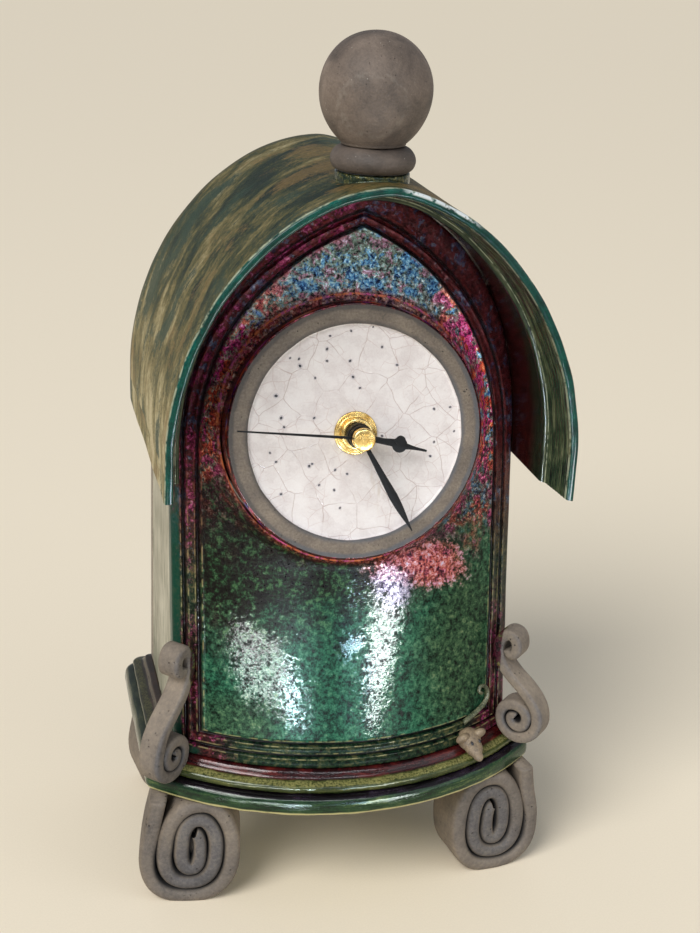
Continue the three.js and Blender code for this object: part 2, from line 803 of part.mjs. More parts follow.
function minutePinion() {
  const bore = secondsRadius + runGap;
  const wheel = plate(gearShape(minuteTeeth, wheelModule, bore, up), minuteWheelRear, minuteWheelFront);
  return join(wheel, tube(bore, minuteTubeRadius, minuteWheelRear, minuteHubTop, 24));
}

// Transfer wheel and its pinion on the setting arbor, above the dial axis
function transferWheel() {
  const wheelTurn = -up + Math.PI / transferWheelTeeth;
  const pinionTurn = -up + Math.PI / transferPinionTeeth;
  const wheelShape = gearShape(transferWheelTeeth, wheelModule, 0, wheelTurn);
  const wheel = plate(wheelShape, minuteWheelRear, minuteWheelFront);
  const pinionShape = gearShape(transferPinionTeeth, hourModule, 0, pinionTurn);
  const pinion = plate(pinionShape, minuteWheelFront - wheelThickness / 2, hourWheelFront);
  const arbor = rod(arborRadius, coverRear - gap - knobHeight * 0.6, minuteWheelFront - 0.2, 20);
  return join(wheel, pinion, arbor).translate(0, 0, -centreDistance);
}

// Ribbed setting knob on the end of the arbor
function settingKnob() {
  const sides = 2 * knobRibs;
  const outline = new Shape(Array.from({ length: sides }, (_, at) => {
    const radius = knobRadius - (at % 2) * 0.4;
    const angle = at * 2 * Math.PI / sides;
    return new Vector2(radius * Math.cos(angle), radius * Math.sin(angle));
  }));
  const knob = plate(outline, coverRear - gap - knobHeight, coverRear - gap);
  const socket = rod(arborRadius + 0.1, coverRear - gap - knobHeight * 0.7, coverRear, 20);
  return cut(knob, socket).translate(0, 0, -centreDistance);
}

// Front shell of the movement: a tray with the bush hole and a wall above the battery bay
function movementShell() {
  const block = plate(roundedSquare(movementHalf, movementHalf, movementCorner), shellRear, movementFront);
  const inner = movementHalf - movementWall;
  const gearRoom = plate(rectangle(-inner, bayTop + bayWall, inner, inner), shellRear - 1, shellInner);
  const bay = plate(rectangle(-inner, -inner, inner, bayTop), shellRear - 1, shellInner);
  const hole = rod(hourTubeRadius + runGap + 0.1, shellInner - 1, movementFront + 1, 28);
  return cut(block, gearRoom, bay, hole);
}

// Rear cover with the open battery bay and the hole for the setting arbor
function movementCover() {
  const front = shellRear - gap;
  const block = plate(roundedSquare(movementHalf, movementHalf, movementCorner), coverRear, front);
  const inner = movementHalf - movementWall;
  const gearRoom = plate(rectangle(-inner, bayTop + bayWall, inner, inner), coverInner, front + 1);
  const bay = plate(rectangle(-inner, -inner, inner, bayTop), coverRear - 1, front + 1);
  const hole = rod(arborRadius + runGap, coverRear - 1, front + 1, 20).translate(0, 0, -centreDistance);
  return cut(block, gearRoom, bay, hole);
}

// Sealed stepping motor and going train behind the motion work, with room round the setting arbor
function motorUnit() {
  const inner = movementHalf - movementWall - gap;
  const low = bayTop + bayWall + gap;
  const block = plate(rectangle(-inner, low, inner, inner), coverInner + gap, motorFront);
  const arborHole = rod(arborRadius + runGap, coverRear, motorFront + 1, 20).translate(0, 0, -centreDistance);
  const shaftHole = rod(secondsRadius + runGap, motorFront - 3, motorFront + 1, 20);
  return cut(block, arborHole, shaftHole);
}

function secondsShaft() {
  return rod(secondsRadius, motorFront - 2.6, capBase - gap, 20);
}

function threadedBush() {
  return tube(hourTubeRadius + runGap, bushRadius, movementFront + gap, bushTop);
}

// Hour hand: hub, arm, round lobe and spear tip
function hourHand() {
  const arm = hourArmHalfWidth;
  const lobeTurn = Math.asin(arm / hourLobeRadius);
  const outline = new Shape();
  outline.moveTo(-arm, hourHubRadius - 1);
  outline.lineTo(-arm, hourLobeAt - hourLobeRadius);
  outline.absarc(0, hourLobeAt, hourLobeRadius, 1.5 * Math.PI - lobeTurn, up + lobeTurn, true);
  outline.lineTo(0, hourHandLength);
  outline.lineTo(arm, hourLobeAt + hourLobeRadius * Math.cos(lobeTurn));
  outline.absarc(0, hourLobeAt, hourLobeRadius, up - lobeTurn, -up + lobeTurn, true);
  outline.lineTo(arm, hourHubRadius - 1);
  const hub = tube(hourTubeRadius + handGrip, hourHubRadius, hourHubBase, hourHubTop);
  return handFrom(outline, hub, (hourHubBase + hourHubTop) / 2, hourShown);
}

// Minute hand: hub and a long leaf
function minuteHand() {
  const outline = new Shape();
  outline.moveTo(-minuteRootHalfWidth, minuteHubRadius - 1.5);
  outline.lineTo(-minuteLeafHalfWidth, minuteLeafAt);
  outline.lineTo(0, minuteHandLength);
  outline.lineTo(minuteLeafHalfWidth, minuteLeafAt);
  outline.lineTo(minuteRootHalfWidth, minuteHubRadius - 1.5);
  const hub = tube(minuteTubeRadius + handGrip, minuteHubRadius, minuteHubBase, minuteHubTop);
  return handFrom(outline, hub, (minuteHubBase + minuteHubTop) / 2, minuteShown);
}

// Flat blade at a height on its hub, turned to the time shown
function handFrom(outline, hub, middle, shown) {
  const blade = plate(outline, middle - handThickness / 2, middle + handThickness / 2, 7);
  return join(hub, blade.rotateY(-shown * 2 * Math.PI));
}

// Seconds hand: a needle with a weighted tail, on a small collet that grips the shaft
function secondsHand() {
  const needle = new Shape();
  needle.moveTo(-secondsRootHalfWidth, 0);
  needle.lineTo(-secondsTipHalfWidth, secondsHandLength);
  needle.lineTo(secondsTipHalfWidth, secondsHandLength);
  needle.lineTo(secondsRootHalfWidth, 0);
  needle.lineTo(secondsRootHalfWidth, -secondsTailLength);
  needle.lineTo(-secondsRootHalfWidth, -secondsTailLength);
  const blade = plate(needle, secondsBase, secondsTop);
  const weight = rod(secondsWeightRadius, secondsBase, secondsTop, 16).translate(0, 0, secondsTailLength);
  const collet = rod(secondsColletRadius, secondsBase, secondsTop, 20);
  const bore = rod(secondsRadius + handGrip, secondsBase - 1, secondsTop + 1, 20);
  return cut(join(blade, weight, collet).rotateY(-secondsShown * 2 * Math.PI), bore);
}

function handCap() {
  return turned([
    [0, capBase], [capRadius, capBase], [capRadius, capBase + capHeight * 0.72],
    [capRadius * 0.86, capBase + capHeight * 0.92], [0, capBase + capHeight],
  ], 24);
}

function battery() {
  const body = rod(batteryRadius, -batteryLength / 2, batteryLength / 2, 28);
  const nub = rod(batteryNubRadius, batteryLength / 2 - 1, batteryLength / 2 + batteryNub, 20);
  return join(body, nub).rotateZ(-up).translate(-batteryNub / 2, batteryY, -batteryV);
}

// Sprung contact strip at one end of the battery bay
function contact(side) {
  const end = side * (movementHalf - movementWall - bayClearance / 2);
  const near = end - side * contactThickness;
  const low = batteryV - contactHalfWidth;
  const high = batteryV + contactHalfWidth;
  const shape = rectangle(Math.min(end, near), low, Math.max(end, near), high);
  return plate(shape, batteryY - contactHalfWidth, batteryY + contactHalfWidth);
}

const finishes = {
  bareClay: [0x736a62, 0.9, 0],
  copperGlaze: [0x1d4a3c, 0.25, 0.35],
  bronzeGlaze: [0x6b6447, 0.5, 0.2],
  paleWall: [0xb9b39e, 0.7, 0],
  whiteGlaze: [0xe6e0da, 0.3, 0],
  mouseClay: [0xa2937d, 0.85, 0],
  brass: [0xc9a24a, 0.3, 1],
  black: [0x141414, 0.4, 0.3],
  rubber: [0x1b1b1b, 0.9, 0],
  plastic: [0x26282a, 0.6, 0],
  steel: [0xb8bbbd, 0.35, 1],
  nylon: [0xd9d6cc, 0.6, 0],
  wrapper: [0x3c5a6e, 0.4, 0.4],
};

const clock = new Group();

function add(parent, name, geometry, finish) {
  const [color, roughness, metalness] = finishes[finish];
  const mesh = new Mesh(geometry, new MeshStandardMaterial({ color, roughness, metalness }));
  mesh.name = name;
  parent.add(mesh);
  return mesh;
}

const frontFootY = plinthFront + frontFootSetback + footDepth / 2;
const rearFootY = plinthRear - rearFootSetback - footDepth / 2;
add(clock, 'front_left_foot', rolledFoot(footShift - frontFootSpread, frontFootY, 1, footTurn), 'bareClay');
add(clock, 'front_right_foot', rolledFoot(footShift + frontFootSpread, frontFootY, -1, footTurn), 'bareClay');
add(clock, 'rear_left_foot', rolledFoot(footShift - rearFootSpread, rearFootY, 1, -footTurn), 'bareClay');
add(clock, 'rear_right_foot', rolledFoot(footShift + rearFootSpread, rearFootY, -1, -footTurn), 'bareClay');
add(clock, 'plinth_slab', plinthLayer(slabBase, slabMoulding), 'copperGlaze');
add(clock, 'plinth_step', plinthStep(), 'copperGlaze');
add(clock, 'front_panel', frontPanel(), 'copperGlaze');
add(clock, 'left_wall', sideWall(-1), 'paleWall');
add(clock, 'right_wall', sideWall(1), 'paleWall');
add(clock, 'back_panel', backPanel(), 'paleWall');
add(clock, 'roof_slab', roofSlab(), 'bronzeGlaze');
add(clock, 'finial_seat', finialSeat(), 'copperGlaze');
add(clock, 'finial_collar', finialCollar(), 'bareClay').position.set(finialOffset, finialY, collarBase);
add(clock, 'finial_ball', finialBall(), 'bareClay').position.set(finialOffset, finialY, ballBase);
add(clock, 'left_scroll', cornerScroll(-1, leftScrollHeight, 0), 'bareClay');
add(clock, 'right_scroll', cornerScroll(1, rightScrollHeight, rightScrollLift), 'bareClay');
add(clock, 'mouse', mouse(), 'mouseClay');
add(clock, 'mouse_tail', mouseTail(), 'mouseClay');

clock.add(dial);
add(dial, 'dial_plate', dialPlate(), 'whiteGlaze');
add(dial, 'brass_washer', tube(bushRadius + gap, brassWasherRadius, brassBase, nutBase - gap, 28), 'brass');
add(dial, 'brass_nut', tube(bushRadius + gap, nutRadius, nutBase, nutTop, 28), 'brass');
add(dial, 'threaded_bush', threadedBush(), 'brass');
add(dial, 'hour_hand', hourHand(), 'black');
add(dial, 'minute_hand', minuteHand(), 'black');
add(dial, 'seconds_hand', secondsHand(), 'black');
add(dial, 'hand_cap', handCap(), 'brass');
add(dial, 'seconds_shaft', secondsShaft(), 'steel');
const rubberWasher = tube(bushRadius + gap, rubberWasherRadius, rubberTop - rubberWasherThickness, rubberTop);
add(dial, 'rubber_washer', rubberWasher, 'rubber');
add(dial, 'movement_shell', movementShell(), 'plastic');
add(dial, 'movement_cover', movementCover(), 'plastic');
add(dial, 'motor_unit', motorUnit(), 'plastic');
add(dial, 'hour_wheel', hourWheel(), 'nylon');
add(dial, 'minute_pinion', minutePinion(), 'nylon');
add(dial, 'transfer_wheel', transferWheel(), 'nylon');
add(dial, 'setting_knob', settingKnob(), 'plastic');
add(dial, 'battery', battery(), 'wrapper');
add(dial, 'contact_plus', contact(1), 'steel');
add(dial, 'contact_minus', contact(-1), 'steel');

export default clock;
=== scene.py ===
from math import acos, asin, atan2, copysign, cos, hypot, pi, radians, sin, sqrt, tan
import bpy
import bmesh
from mathutils import Matrix, Vector, noise


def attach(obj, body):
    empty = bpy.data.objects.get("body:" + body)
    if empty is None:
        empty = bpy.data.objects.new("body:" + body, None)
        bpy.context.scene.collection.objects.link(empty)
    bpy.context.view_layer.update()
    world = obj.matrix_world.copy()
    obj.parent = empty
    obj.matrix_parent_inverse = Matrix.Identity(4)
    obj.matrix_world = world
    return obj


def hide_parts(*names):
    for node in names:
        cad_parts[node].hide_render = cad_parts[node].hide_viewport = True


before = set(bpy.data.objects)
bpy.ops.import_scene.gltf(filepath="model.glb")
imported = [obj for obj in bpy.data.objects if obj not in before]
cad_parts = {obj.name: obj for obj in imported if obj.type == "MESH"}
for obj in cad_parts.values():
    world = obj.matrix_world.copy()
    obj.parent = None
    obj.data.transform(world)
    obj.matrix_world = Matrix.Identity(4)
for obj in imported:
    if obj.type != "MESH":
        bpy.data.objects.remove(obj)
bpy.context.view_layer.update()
scene = bpy.context.scene
mm = 0.001
noise.seed_set(5)  # the same clay each time

# sizes that several clay pieces share, in millimetres
lean = radians(8.5)
case = {"base": 61.4, "halfWidth": 69, "spring": 190, "rise": 93.1, "power": 1.75, "cant": 0.04,
        "bowCentre": 52.75, "bow": 106.2}
border = {"half": 59.4, "foot": 71.6, "spring": 183, "rise": 87.8, "spacing": 5}
dial = {"x": -3.2, "y": -38.634, "z": 196, "radius": 49, "ring": 46.9, "face": 40.9, "sink": 2, "depth": 24,
        "bore": 4.3, "hollow": 44, "floor": 6, "steps": 180}
dialUp = Vector((0, sin(lean), cos(lean)))
dialOut = Vector((0, -cos(lean), sin(lean)))
dialCentre = Vector((dial["x"], dial["y"], dial["z"]))
dialPlane = (dialCentre * mm, (pi / 2 - lean, 0, 0))
dialFrame = Matrix.Translation(dialCentre) @ Matrix((Vector((1, 0, 0)), dialUp, dialOut)).transposed().to_4x4()


def tint(*colour):  # from picture values of 0 to 255
    parts = [part / 255 for part in colour]
    return (*[c / 12.92 if c <= 0.04045 else ((c + 0.055) / 1.055) ** 2.4 for c in parts], 1)


def spread(count, make):
    return [make(step / count) for step in range(count + 1)]


def ease(low, high, value):
    share = min(max((value - low) / (high - low), 0), 1)
    return share * share * (3 - 2 * share)


def between(first, last, share):
    return first + (last - first) * share


# one way of joining two sockets, or a socket and a number
def joined(operation, swapped=False):
    def join(self, other):
        return self.sum(operation, *((other, self) if swapped else (self, other)))

    return join


# a socket of a material that takes part in sums
class Flow:
    def __init__(self, finish, socket):
        self.finish, self.socket = finish, socket

    def sum(self, operation, *terms):
        return self.finish.node("ShaderNodeMath", {"operation": operation}, terms)

    __add__, __radd__ = joined("ADD"), joined("ADD", True)
    __sub__, __rsub__ = joined("SUBTRACT"), joined("SUBTRACT", True)
    __mul__, __rmul__ = joined("MULTIPLY"), joined("MULTIPLY", True)
    __truediv__, __rtruediv__ = joined("DIVIDE"), joined("DIVIDE", True)
    __pow__, least, most = joined("POWER"), joined("MINIMUM"), joined("MAXIMUM")

    def size(self):
        return self.sum("ABSOLUTE", self)

    def rise(self, low, high):  # 0 below low, 1 above high
        return self.finish.node("ShaderNodeMapRange", {"interpolation_type": "SMOOTHSTEP"},
                {"Value": self, "From Min": low, "From Max": high})

    def fall(self, low, high):
        return 1 - self.rise(low, high)


coatSockets = {"rough": "Roughness", "metal": "Metallic", "shine": "Specular IOR Level", "relief": "Normal"}


# one material, with its patterns in millimetres of the object's own place
class Finish:
    def __init__(self, name, turn=None):
        self.material = bpy.data.materials.new(name)
        self.material.use_nodes = True
        self.tree = self.material.node_tree
        self.tree.nodes.clear()
        where = self.node("ShaderNodeTexCoord", out="Object")
        if turn:
            where = self.node("ShaderNodeMapping", {"vector_type": "TEXTURE"},
                    {"Vector": where, "Location": turn[0], "Rotation": turn[1]})
        self.place = self.pushed("SCALE", where, 1 / mm)
        self.x, self.y, self.z = [self.node("ShaderNodeSeparateXYZ", None, [self.place], out=o)
                for o in range(3)]

    def node(self, kind, settings=None, sockets=None, out=0):
        made = self.tree.nodes.new(kind)
        for key, value in (settings or {}).items():
            if key == "stops":
                ramp = made.color_ramp.elements
                while len(ramp) < len(value):
                    ramp.new(0.5)
                for stop, (at, colour) in zip(ramp, value):
                    stop.position, stop.color = at, colour
            else:
                setattr(made, key, value)
        pairs = sockets.items() if isinstance(sockets, dict) else enumerate(sockets or [])
        for key, value in pairs:
            if isinstance(value, Flow):
                self.tree.links.new(value.socket, made.inputs[key])
            else:
                made.inputs[key].default_value = value
        return Flow(self, made.outputs[out]) if made.outputs else None

    def noise(self, size, detail=3, rough=0.55, twist=0, place=None):  # blotches of about this size
        if isinstance(place, tuple):  # drawn out along an axis
            place = self.pushed("MULTIPLY", self.place, place)
        return self.node("ShaderNodeTexNoise", None, {"Vector": place or self.place, "Scale": 1 / size,
                "Detail": detail, "Roughness": rough, "Distortion": twist})

    def cells(self, size, feature="F1", place=None, kind="3D"):
        return self.node("ShaderNodeTexVoronoi", {"feature": feature, "voronoi_dimensions": kind},
                {"Vector": place or self.place, "Scale": 1 / size})

    def pushed(self, operation, first, second):
        scaled = operation == "SCALE"
        return self.node("ShaderNodeVectorMath", {"operation": operation},
                {0: first, "Scale" if scaled else 1: second})

    def shifted(self, amount, size):  # the place, pushed about by noise
        push = self.node("ShaderNodeTexNoise", None, {"Vector": self.place, "Scale": 1 / size, "Detail": 2},
                out="Color")
        push = self.pushed("SCALE", self.pushed("SUBTRACT", push, (0.5, 0.5, 0.5)), amount)
        return self.pushed("ADD", self.place, push)

    def vector(self, *parts):
        return self.node("ShaderNodeCombineXYZ", None, parts)

    def painted(self, name):  # a value that the piece carries at its points
        return self.node("ShaderNodeAttribute", {"attribute_name": name}, out="Fac")

    def ramp(self, value, *stops):  # each stop is a place and a colour
        return self.node("ShaderNodeValToRGB", {"stops": [(at, tint(*colour)) for at, *colour in stops]},
                [value])

    def mix(self, share, first, second, how="MIX"):
        first, second = [colour if isinstance(colour, Flow) else tint(*colour) for colour in (first, second)]
        return self.node("ShaderNodeMix", {"data_type": "RGBA", "blend_type": how},
                {0: share, 6: first, 7: second}, out=2)

    def lay(self, share, colour):  # one more colour over the body
        self.body = self.mix(share, self.body, colour)

    def bump(self, height, depth):  # depth in millimetres
        return self.node("ShaderNodeBump", None, {"Height": height, "Distance": depth * mm})

    def coat(self, **sockets):
        named = {coatSockets[key]: value for key, value in sockets.items()}
        return self.node("ShaderNodeBsdfPrincipled", None, {"Base Color": self.body, **named})

    def fired(self, surface):
        self.node("ShaderNodeOutputMaterial", None, {"Surface": surface})
        return self.material

    def done(self, **sockets):
        return self.fired(self.coat(**sockets))


# raw clay of the rolled feet and the scrolls, smoked blue-grey on the strip's edges, with painted shade in the
# creases
def smokedStrip(name, light, lustred):
    clay = Finish(name)
    patches = clay.noise(22, 3, 0.6)
    fine = clay.noise(1.4, 4, 0.65)
    pits = clay.cells(2.4).fall(0.08, 0.2) * clay.noise(8, 2).rise(0.5, 0.62)

    def lit(*stops):
        return [(at, *[part + light for part in colour]) for at, *colour in stops]

    clay.body = clay.ramp(patches * 0.65 + fine * 0.35, *lit((0.34, 88, 80, 72), (0.46, 114, 104, 93),
            (0.58, 132, 120, 106), (0.7, 150, 137, 120)))
    facing = clay.node("ShaderNodeNewGeometry", out="Normal")
    front = clay.node("ShaderNodeSeparateXYZ", None, [facing], out=1).size().rise(0.62, 0.97)
    edge = clay.ramp(patches * 0.5 + fine * 0.5, *lit((0.36, 72, 70, 72), (0.5, 92, 89, 90),
            (0.64, 116, 111, 105)))
    clay.lay(front * (0.9 - clay.painted("wound").rise(0.52, 0.62) * (0.25 if lustred else 0.6)), edge)
    clay.lay(pits * 0.8, (52, 46, 42))
    # painted shade: darker where one turn of the strip lies against the next
    clay.lay(clay.painted("crease").rise(0.2, 1), (30, 27, 26))
    rough = fine * 0.12 + 0.68
    if lustred:  # glaze of the case has run on to the near edge
        near = (clay.painted("near") + (clay.noise(3, 3) - 0.5) * 0.5).rise(0.62, 0.8)
        shine = clay.ramp(clay.noise(2.2, 4, 0.7) * 0.6 + clay.noise(6, 2) * 0.4, (0.36, 24, 10, 16),
                (0.46, 70, 22, 40), (0.52, 52, 56, 36), (0.58, 118, 108, 58), (0.66, 96, 90, 120))
        clay.lay(near, shine)
        rough = rough - near * 0.5
    relief = clay.bump(clay.noise(6, 3) * 1.1 + fine * 0.4 - pits, 0.45)
    return clay.done(rough=rough, relief=relief, shine=0.3)


# smoked bare clay of the ball and the collar, with a rubbed ring on the ball's front
def smokedBall():
    clay = Finish("smokedBallClay")
    cloud = clay.noise(17, 4, 0.62, 0.7)
    fine = clay.noise(0.8, 3, 0.7)
    specks = clay.cells(1.4).fall(0.07, 0.16) * clay.noise(4.5, 2).rise(0.5, 0.6)
    clay.body = clay.ramp(cloud * 0.72 + fine * 0.28, (0.32, 70, 62, 56), (0.45, 94, 83, 75),
            (0.56, 112, 99, 89), (0.7, 134, 120, 109))
    across = ((clay.x + 6) ** 2 + (clay.z - 317) ** 2) ** 0.5 + (clay.noise(7, 2) - 0.5) * 4
    ring = (across - 10.5).size().fall(0.2, 1.6) * clay.y.fall(-46, -40) * clay.noise(2, 3).rise(0.4, 0.62)
    clay.lay(ring * 0.22, (150, 142, 132))
    clay.lay(clay.z.fall(300, 306) * 0.45, (58, 54, 52))
    clay.lay(specks * 0.8, (40, 36, 33))
    clay.lay(clay.cells(2.1).fall(0.05, 0.12) * clay.noise(6, 2).rise(0.52, 0.62) * 0.7, (176, 170, 160))
    relief = clay.bump(cloud + fine * 0.5 - specks * 0.8, 0.4)
    return clay.done(rough=cloud * 0.2 + 0.5, relief=relief, shine=0.35)


# copper lustre of the front slab: green low, red and violet round the dial, blue and silver in the arch, its
# whitest flecks painted glints
def frontLustre():
    glaze = Finish("frontLustreGlaze")
    ramp, mix, lay = glaze.ramp, glaze.mix, glaze.lay
    x, z = glaze.x, glaze.z
    warp = glaze.noise(13, 4, 0.65) - 0.5
    leaf = glaze.noise(2.4, 5, 0.78)
    broad = glaze.noise(8, 3, 0.6)
    crumb = (glaze.noise(1.4, 6, 0.78, 0.5) - 0.5) * 1.35 + 0.5  # tone of the crumbs of lustre
    drift = glaze.noise(6.5, 5, 0.74, 0.3)
    warm, cool = drift.rise(0.52, 0.56), drift.fall(0.42, 0.46)

    def spot(atX, atZ, wide, tall, soft=0.45, turn=0):
        turn = radians(turn)
        along = (x - atX) * cos(turn) + (z - atZ) * sin(turn)
        over = (z - atZ) * cos(turn) - (x - atX) * sin(turn)
        reach = ((along / wide) ** 2 + (over / tall) ** 2) ** 0.5 + warp * 1.4
        return reach.fall(1 - soft, 1 + soft)

    # adds a colour to itself: painted light that lifts places the lamps leave dark
    def paintedLift(colour, share=1):
        return mix(share, colour, colour, "ADD")

    mottle = (leaf * 0.62 + crumb * 0.23 + broad * 0.15 - 0.5) * 1.4 + 0.5
    green = ramp(mottle, (0.37, 6, 16, 12), (0.45, 13, 50, 36), (0.52, 26, 84, 62), (0.6, 52, 112, 84),
            (0.7, 104, 146, 112))
    leaves = ramp(mottle, (0.42, 10, 7, 6), (0.5, 26, 18, 13), (0.55, 20, 48, 28), (0.64, 66, 102, 62))
    olive = ramp(mottle, (0.38, 12, 24, 16), (0.47, 36, 62, 42), (0.57, 70, 96, 64), (0.7, 128, 140, 98))
    # the palest stops of the crumb ramps below scatter near-white specks: painted glints on the lustre
    stone = ramp(crumb, (0.34, 20, 22, 23), (0.44, 74, 79, 70), (0.53, 118, 124, 106), (0.62, 168, 180, 172),
            (0.7, 242, 245, 243))
    blue = ramp(crumb, (0.34, 10, 14, 36), (0.43, 34, 62, 118), (0.52, 66, 134, 190), (0.62, 146, 206, 234),
            (0.7, 244, 248, 250))
    rust = ramp(crumb, (0.36, 24, 8, 10), (0.45, 108, 28, 32), (0.54, 196, 72, 48), (0.63, 246, 148, 100),
            (0.71, 252, 214, 190))
    plum = ramp(crumb, (0.36, 16, 7, 16), (0.45, 84, 16, 54), (0.54, 178, 42, 108), (0.63, 238, 112, 180),
            (0.71, 242, 202, 232))
    ink = ramp(crumb, (0.38, 8, 6, 9), (0.5, 30, 16, 21), (0.6, 66, 42, 42), (0.71, 196, 170, 160))

    left = mix(cool, mix(leaf.rise(0.43, 0.49), ink, stone), mix(x.rise(-50, -30), plum, blue))
    left = mix(drift.rise(0.48, 0.53), left, mix(broad.rise(0.5, 0.56), rust, plum))
    hot = mix(broad.rise(0.49, 0.55), plum, rust)
    right = mix(drift.rise(0.45, 0.5), mix(leaf.rise(0.44, 0.5), ink, stone), hot)
    right = mix(drift.fall(0.39, 0.43) * 0.85, right, blue)
    # painted light: the left side lightened once and the right twice, where the slab turns away from the
    # daylight
    glaze.body = mix((x + warp * 30).rise(-18, 22), paintedLift(left), paintedLift(paintedLift(right)))
    lay(z.fall(164, 204) * 0.85, mix(leaf.rise(0.52, 0.57), ink, mix(drift.rise(0.5, 0.55), leaves, plum)))
    crown = mix(drift.fall(0.4, 0.47) * 0.75, mix(warm * 0.5, stone, plum), blue)
    # the crown lightened too: painted light for an arch that reflects little
    lay(spot(4, 252, 42, 26, 0.5), mix(1, paintedLift(crown, 0.8), (218, 244, 255), "MULTIPLY"))
    lay(spot(2, 249, 36, 6, 0.6) * drift.fall(0.47, 0.52) * 0.7, blue)
    low = (z + warp * 34).fall(138, 158)
    lay(low, green)
    for share, colour, *where in ((0.95, leaves, -44, 142, 34, 32), (0.9, leaves, 0, 140, 34, 14),
            (0.8, olive, 46, 104, 18, 40), (0.6, olive, -48, 78, 16, 12)):
        lay(spot(*where, 0.6) * share, colour)
    rose = ramp(leaf * 0.6 + crumb * 0.4, (0.4, 30, 12, 32), (0.46, 118, 40, 70), (0.5, 204, 94, 78),
            (0.54, 234, 148, 152), (0.6, 226, 208, 240))
    torn = leaf * 2.6 + crumb - 1.8
    rose = mix(broad.rise(0.46, 0.54) * 0.5, rose, mix(drift.rise(0.46, 0.54), plum, rust))
    lay((spot(25, 141, 21, 9, 0.8, -12) + torn).rise(0.4, 0.9) * spot(25, 141, 29, 14, 0.5, -12) * 0.85, rose)
    lilac = ramp(crumb, (0.36, 44, 40, 70), (0.48, 126, 112, 168), (0.6, 212, 202, 236))
    lay((spot(14, 134, 9, 10, 0.8) + torn).rise(0.4, 0.9) * spot(14, 134, 14, 15, 0.5) * 0.6, lilac)
    apart = ((x - dial["x"]) ** 2 + (z - dial["z"]) ** 2) ** 0.5
    lay((apart + warp * 3).fall(50, 53) * 0.8, mix(warm * x.rise(-40, 30), mix(0.6, rust, ink), rust))
    # painted highlight: a thin pink and orange line where the slab meets the drum
    rimHighlight = (apart - 50.2).size().fall(0.1, 0.6) * leaf.rise(0.44, 0.5)
    lay(rimHighlight * 0.75, mix(drift.rise(0.47, 0.53), (236, 104, 176), (244, 136, 84)))

    # border bands outside the inner groove, with worn pale lips that are partly painted highlight, and painted
    # shade in the groove bottoms
    reach = (border["half"] ** 2 + border["rise"] ** 2) / (2 * border["half"])
    canted = z + x * case["cant"] - border["spring"]
    outward = ((x.size() + reach - border["half"]) ** 2 + canted.most(0) ** 2) ** 0.5 - reach
    outward = outward.most(border["foot"] - z)
    high = z.rise(120, 190)
    dusk = ramp(crumb * 0.4 + leaf * 0.6, (0.3, 18, 10, 12), (0.45, 60, 20, 25), (0.58, 116, 44, 48),
            (0.7, 196, 112, 124))
    dusk = mix(warm * x.fall(-10, 10) * 0.8, mix(cool * 0.35, dusk, blue), plum)
    moss = ramp(mottle, (0.4, 7, 14, 10), (0.5, 16, 48, 33), (0.64, 84, 84, 54))
    band = mix(high, moss, dusk)
    corner = x.size().rise(44, 58) * z.fall(84, 136)
    wine = ramp(mottle, (0.4, 14, 6, 9), (0.5, 54, 12, 24), (0.62, 104, 30, 42))
    band = mix(corner * 0.85, band, mix(warm * 0.6, wine, plum))
    lay(outward.rise(-1.2, 0.2), band)
    teal = outward.rise(6.2, 7.2) * x.fall(-62, -58) * z.fall(150, 200)
    lay(teal * 0.85, (10, 62, 48))
    inner, outer = outward.size(), (outward - border["spacing"]).size()
    # pale glaze on the lips of the grooves, partly a painted highlight
    lip = (inner - 1.25).size().fall(0.08, 0.4).most((outer - 1.25).size().fall(0.08, 0.4))
    wearAndSheen = glaze.noise(3, 3, 0.6).rise(0.44, 0.6)
    lay(lip * wearAndSheen * 0.6, mix(high, (160, 154, 108), (140, 56, 50)))
    # painted shade: near-black in the bottoms of the grooves
    lay(inner.least(outer).fall(0.35, 0.8) * 0.85, (7, 6, 7))

    # wet where the glaze ran thick, satin elsewhere
    pool = spot(-36, 100, 27, 12, 0.5, -50)
    for where in ((9, 110, 7.5, 36), (17, 130, 17, 14), (-2, 112, 9, 5, 30)):
        pool = pool.most(spot(*where[:4], 0.6, *where[4:]))
    tear = (leaf - 0.5) * 3.6 + (crumb - 0.5) * 2.4
    wet = (pool * 0.8 + tear).rise(0.5, 0.7).most(z.rise(176, 206) * crumb.rise(0.5, 0.56))
    wrinkle = glaze.noise(2.2, 3, 0.6) * 0.6 + glaze.noise(0.8, 2) * 0.3
    relief = glaze.bump(wrinkle * 0.56 + (1 - low) * crumb * 1.4, 0.32)
    lustre = z.rise(184, 214) * 0.26 + 0.06
    dry = glaze.coat(rough=leaf * 0.2 + 0.2, metal=lustre, relief=relief, shine=0.1)
    gloss = glaze.coat(rough=0.07, metal=lustre, relief=relief, shine=0.5)
    return glaze.fired(glaze.node("ShaderNodeMixShader", None, [wet, dry, gloss]))


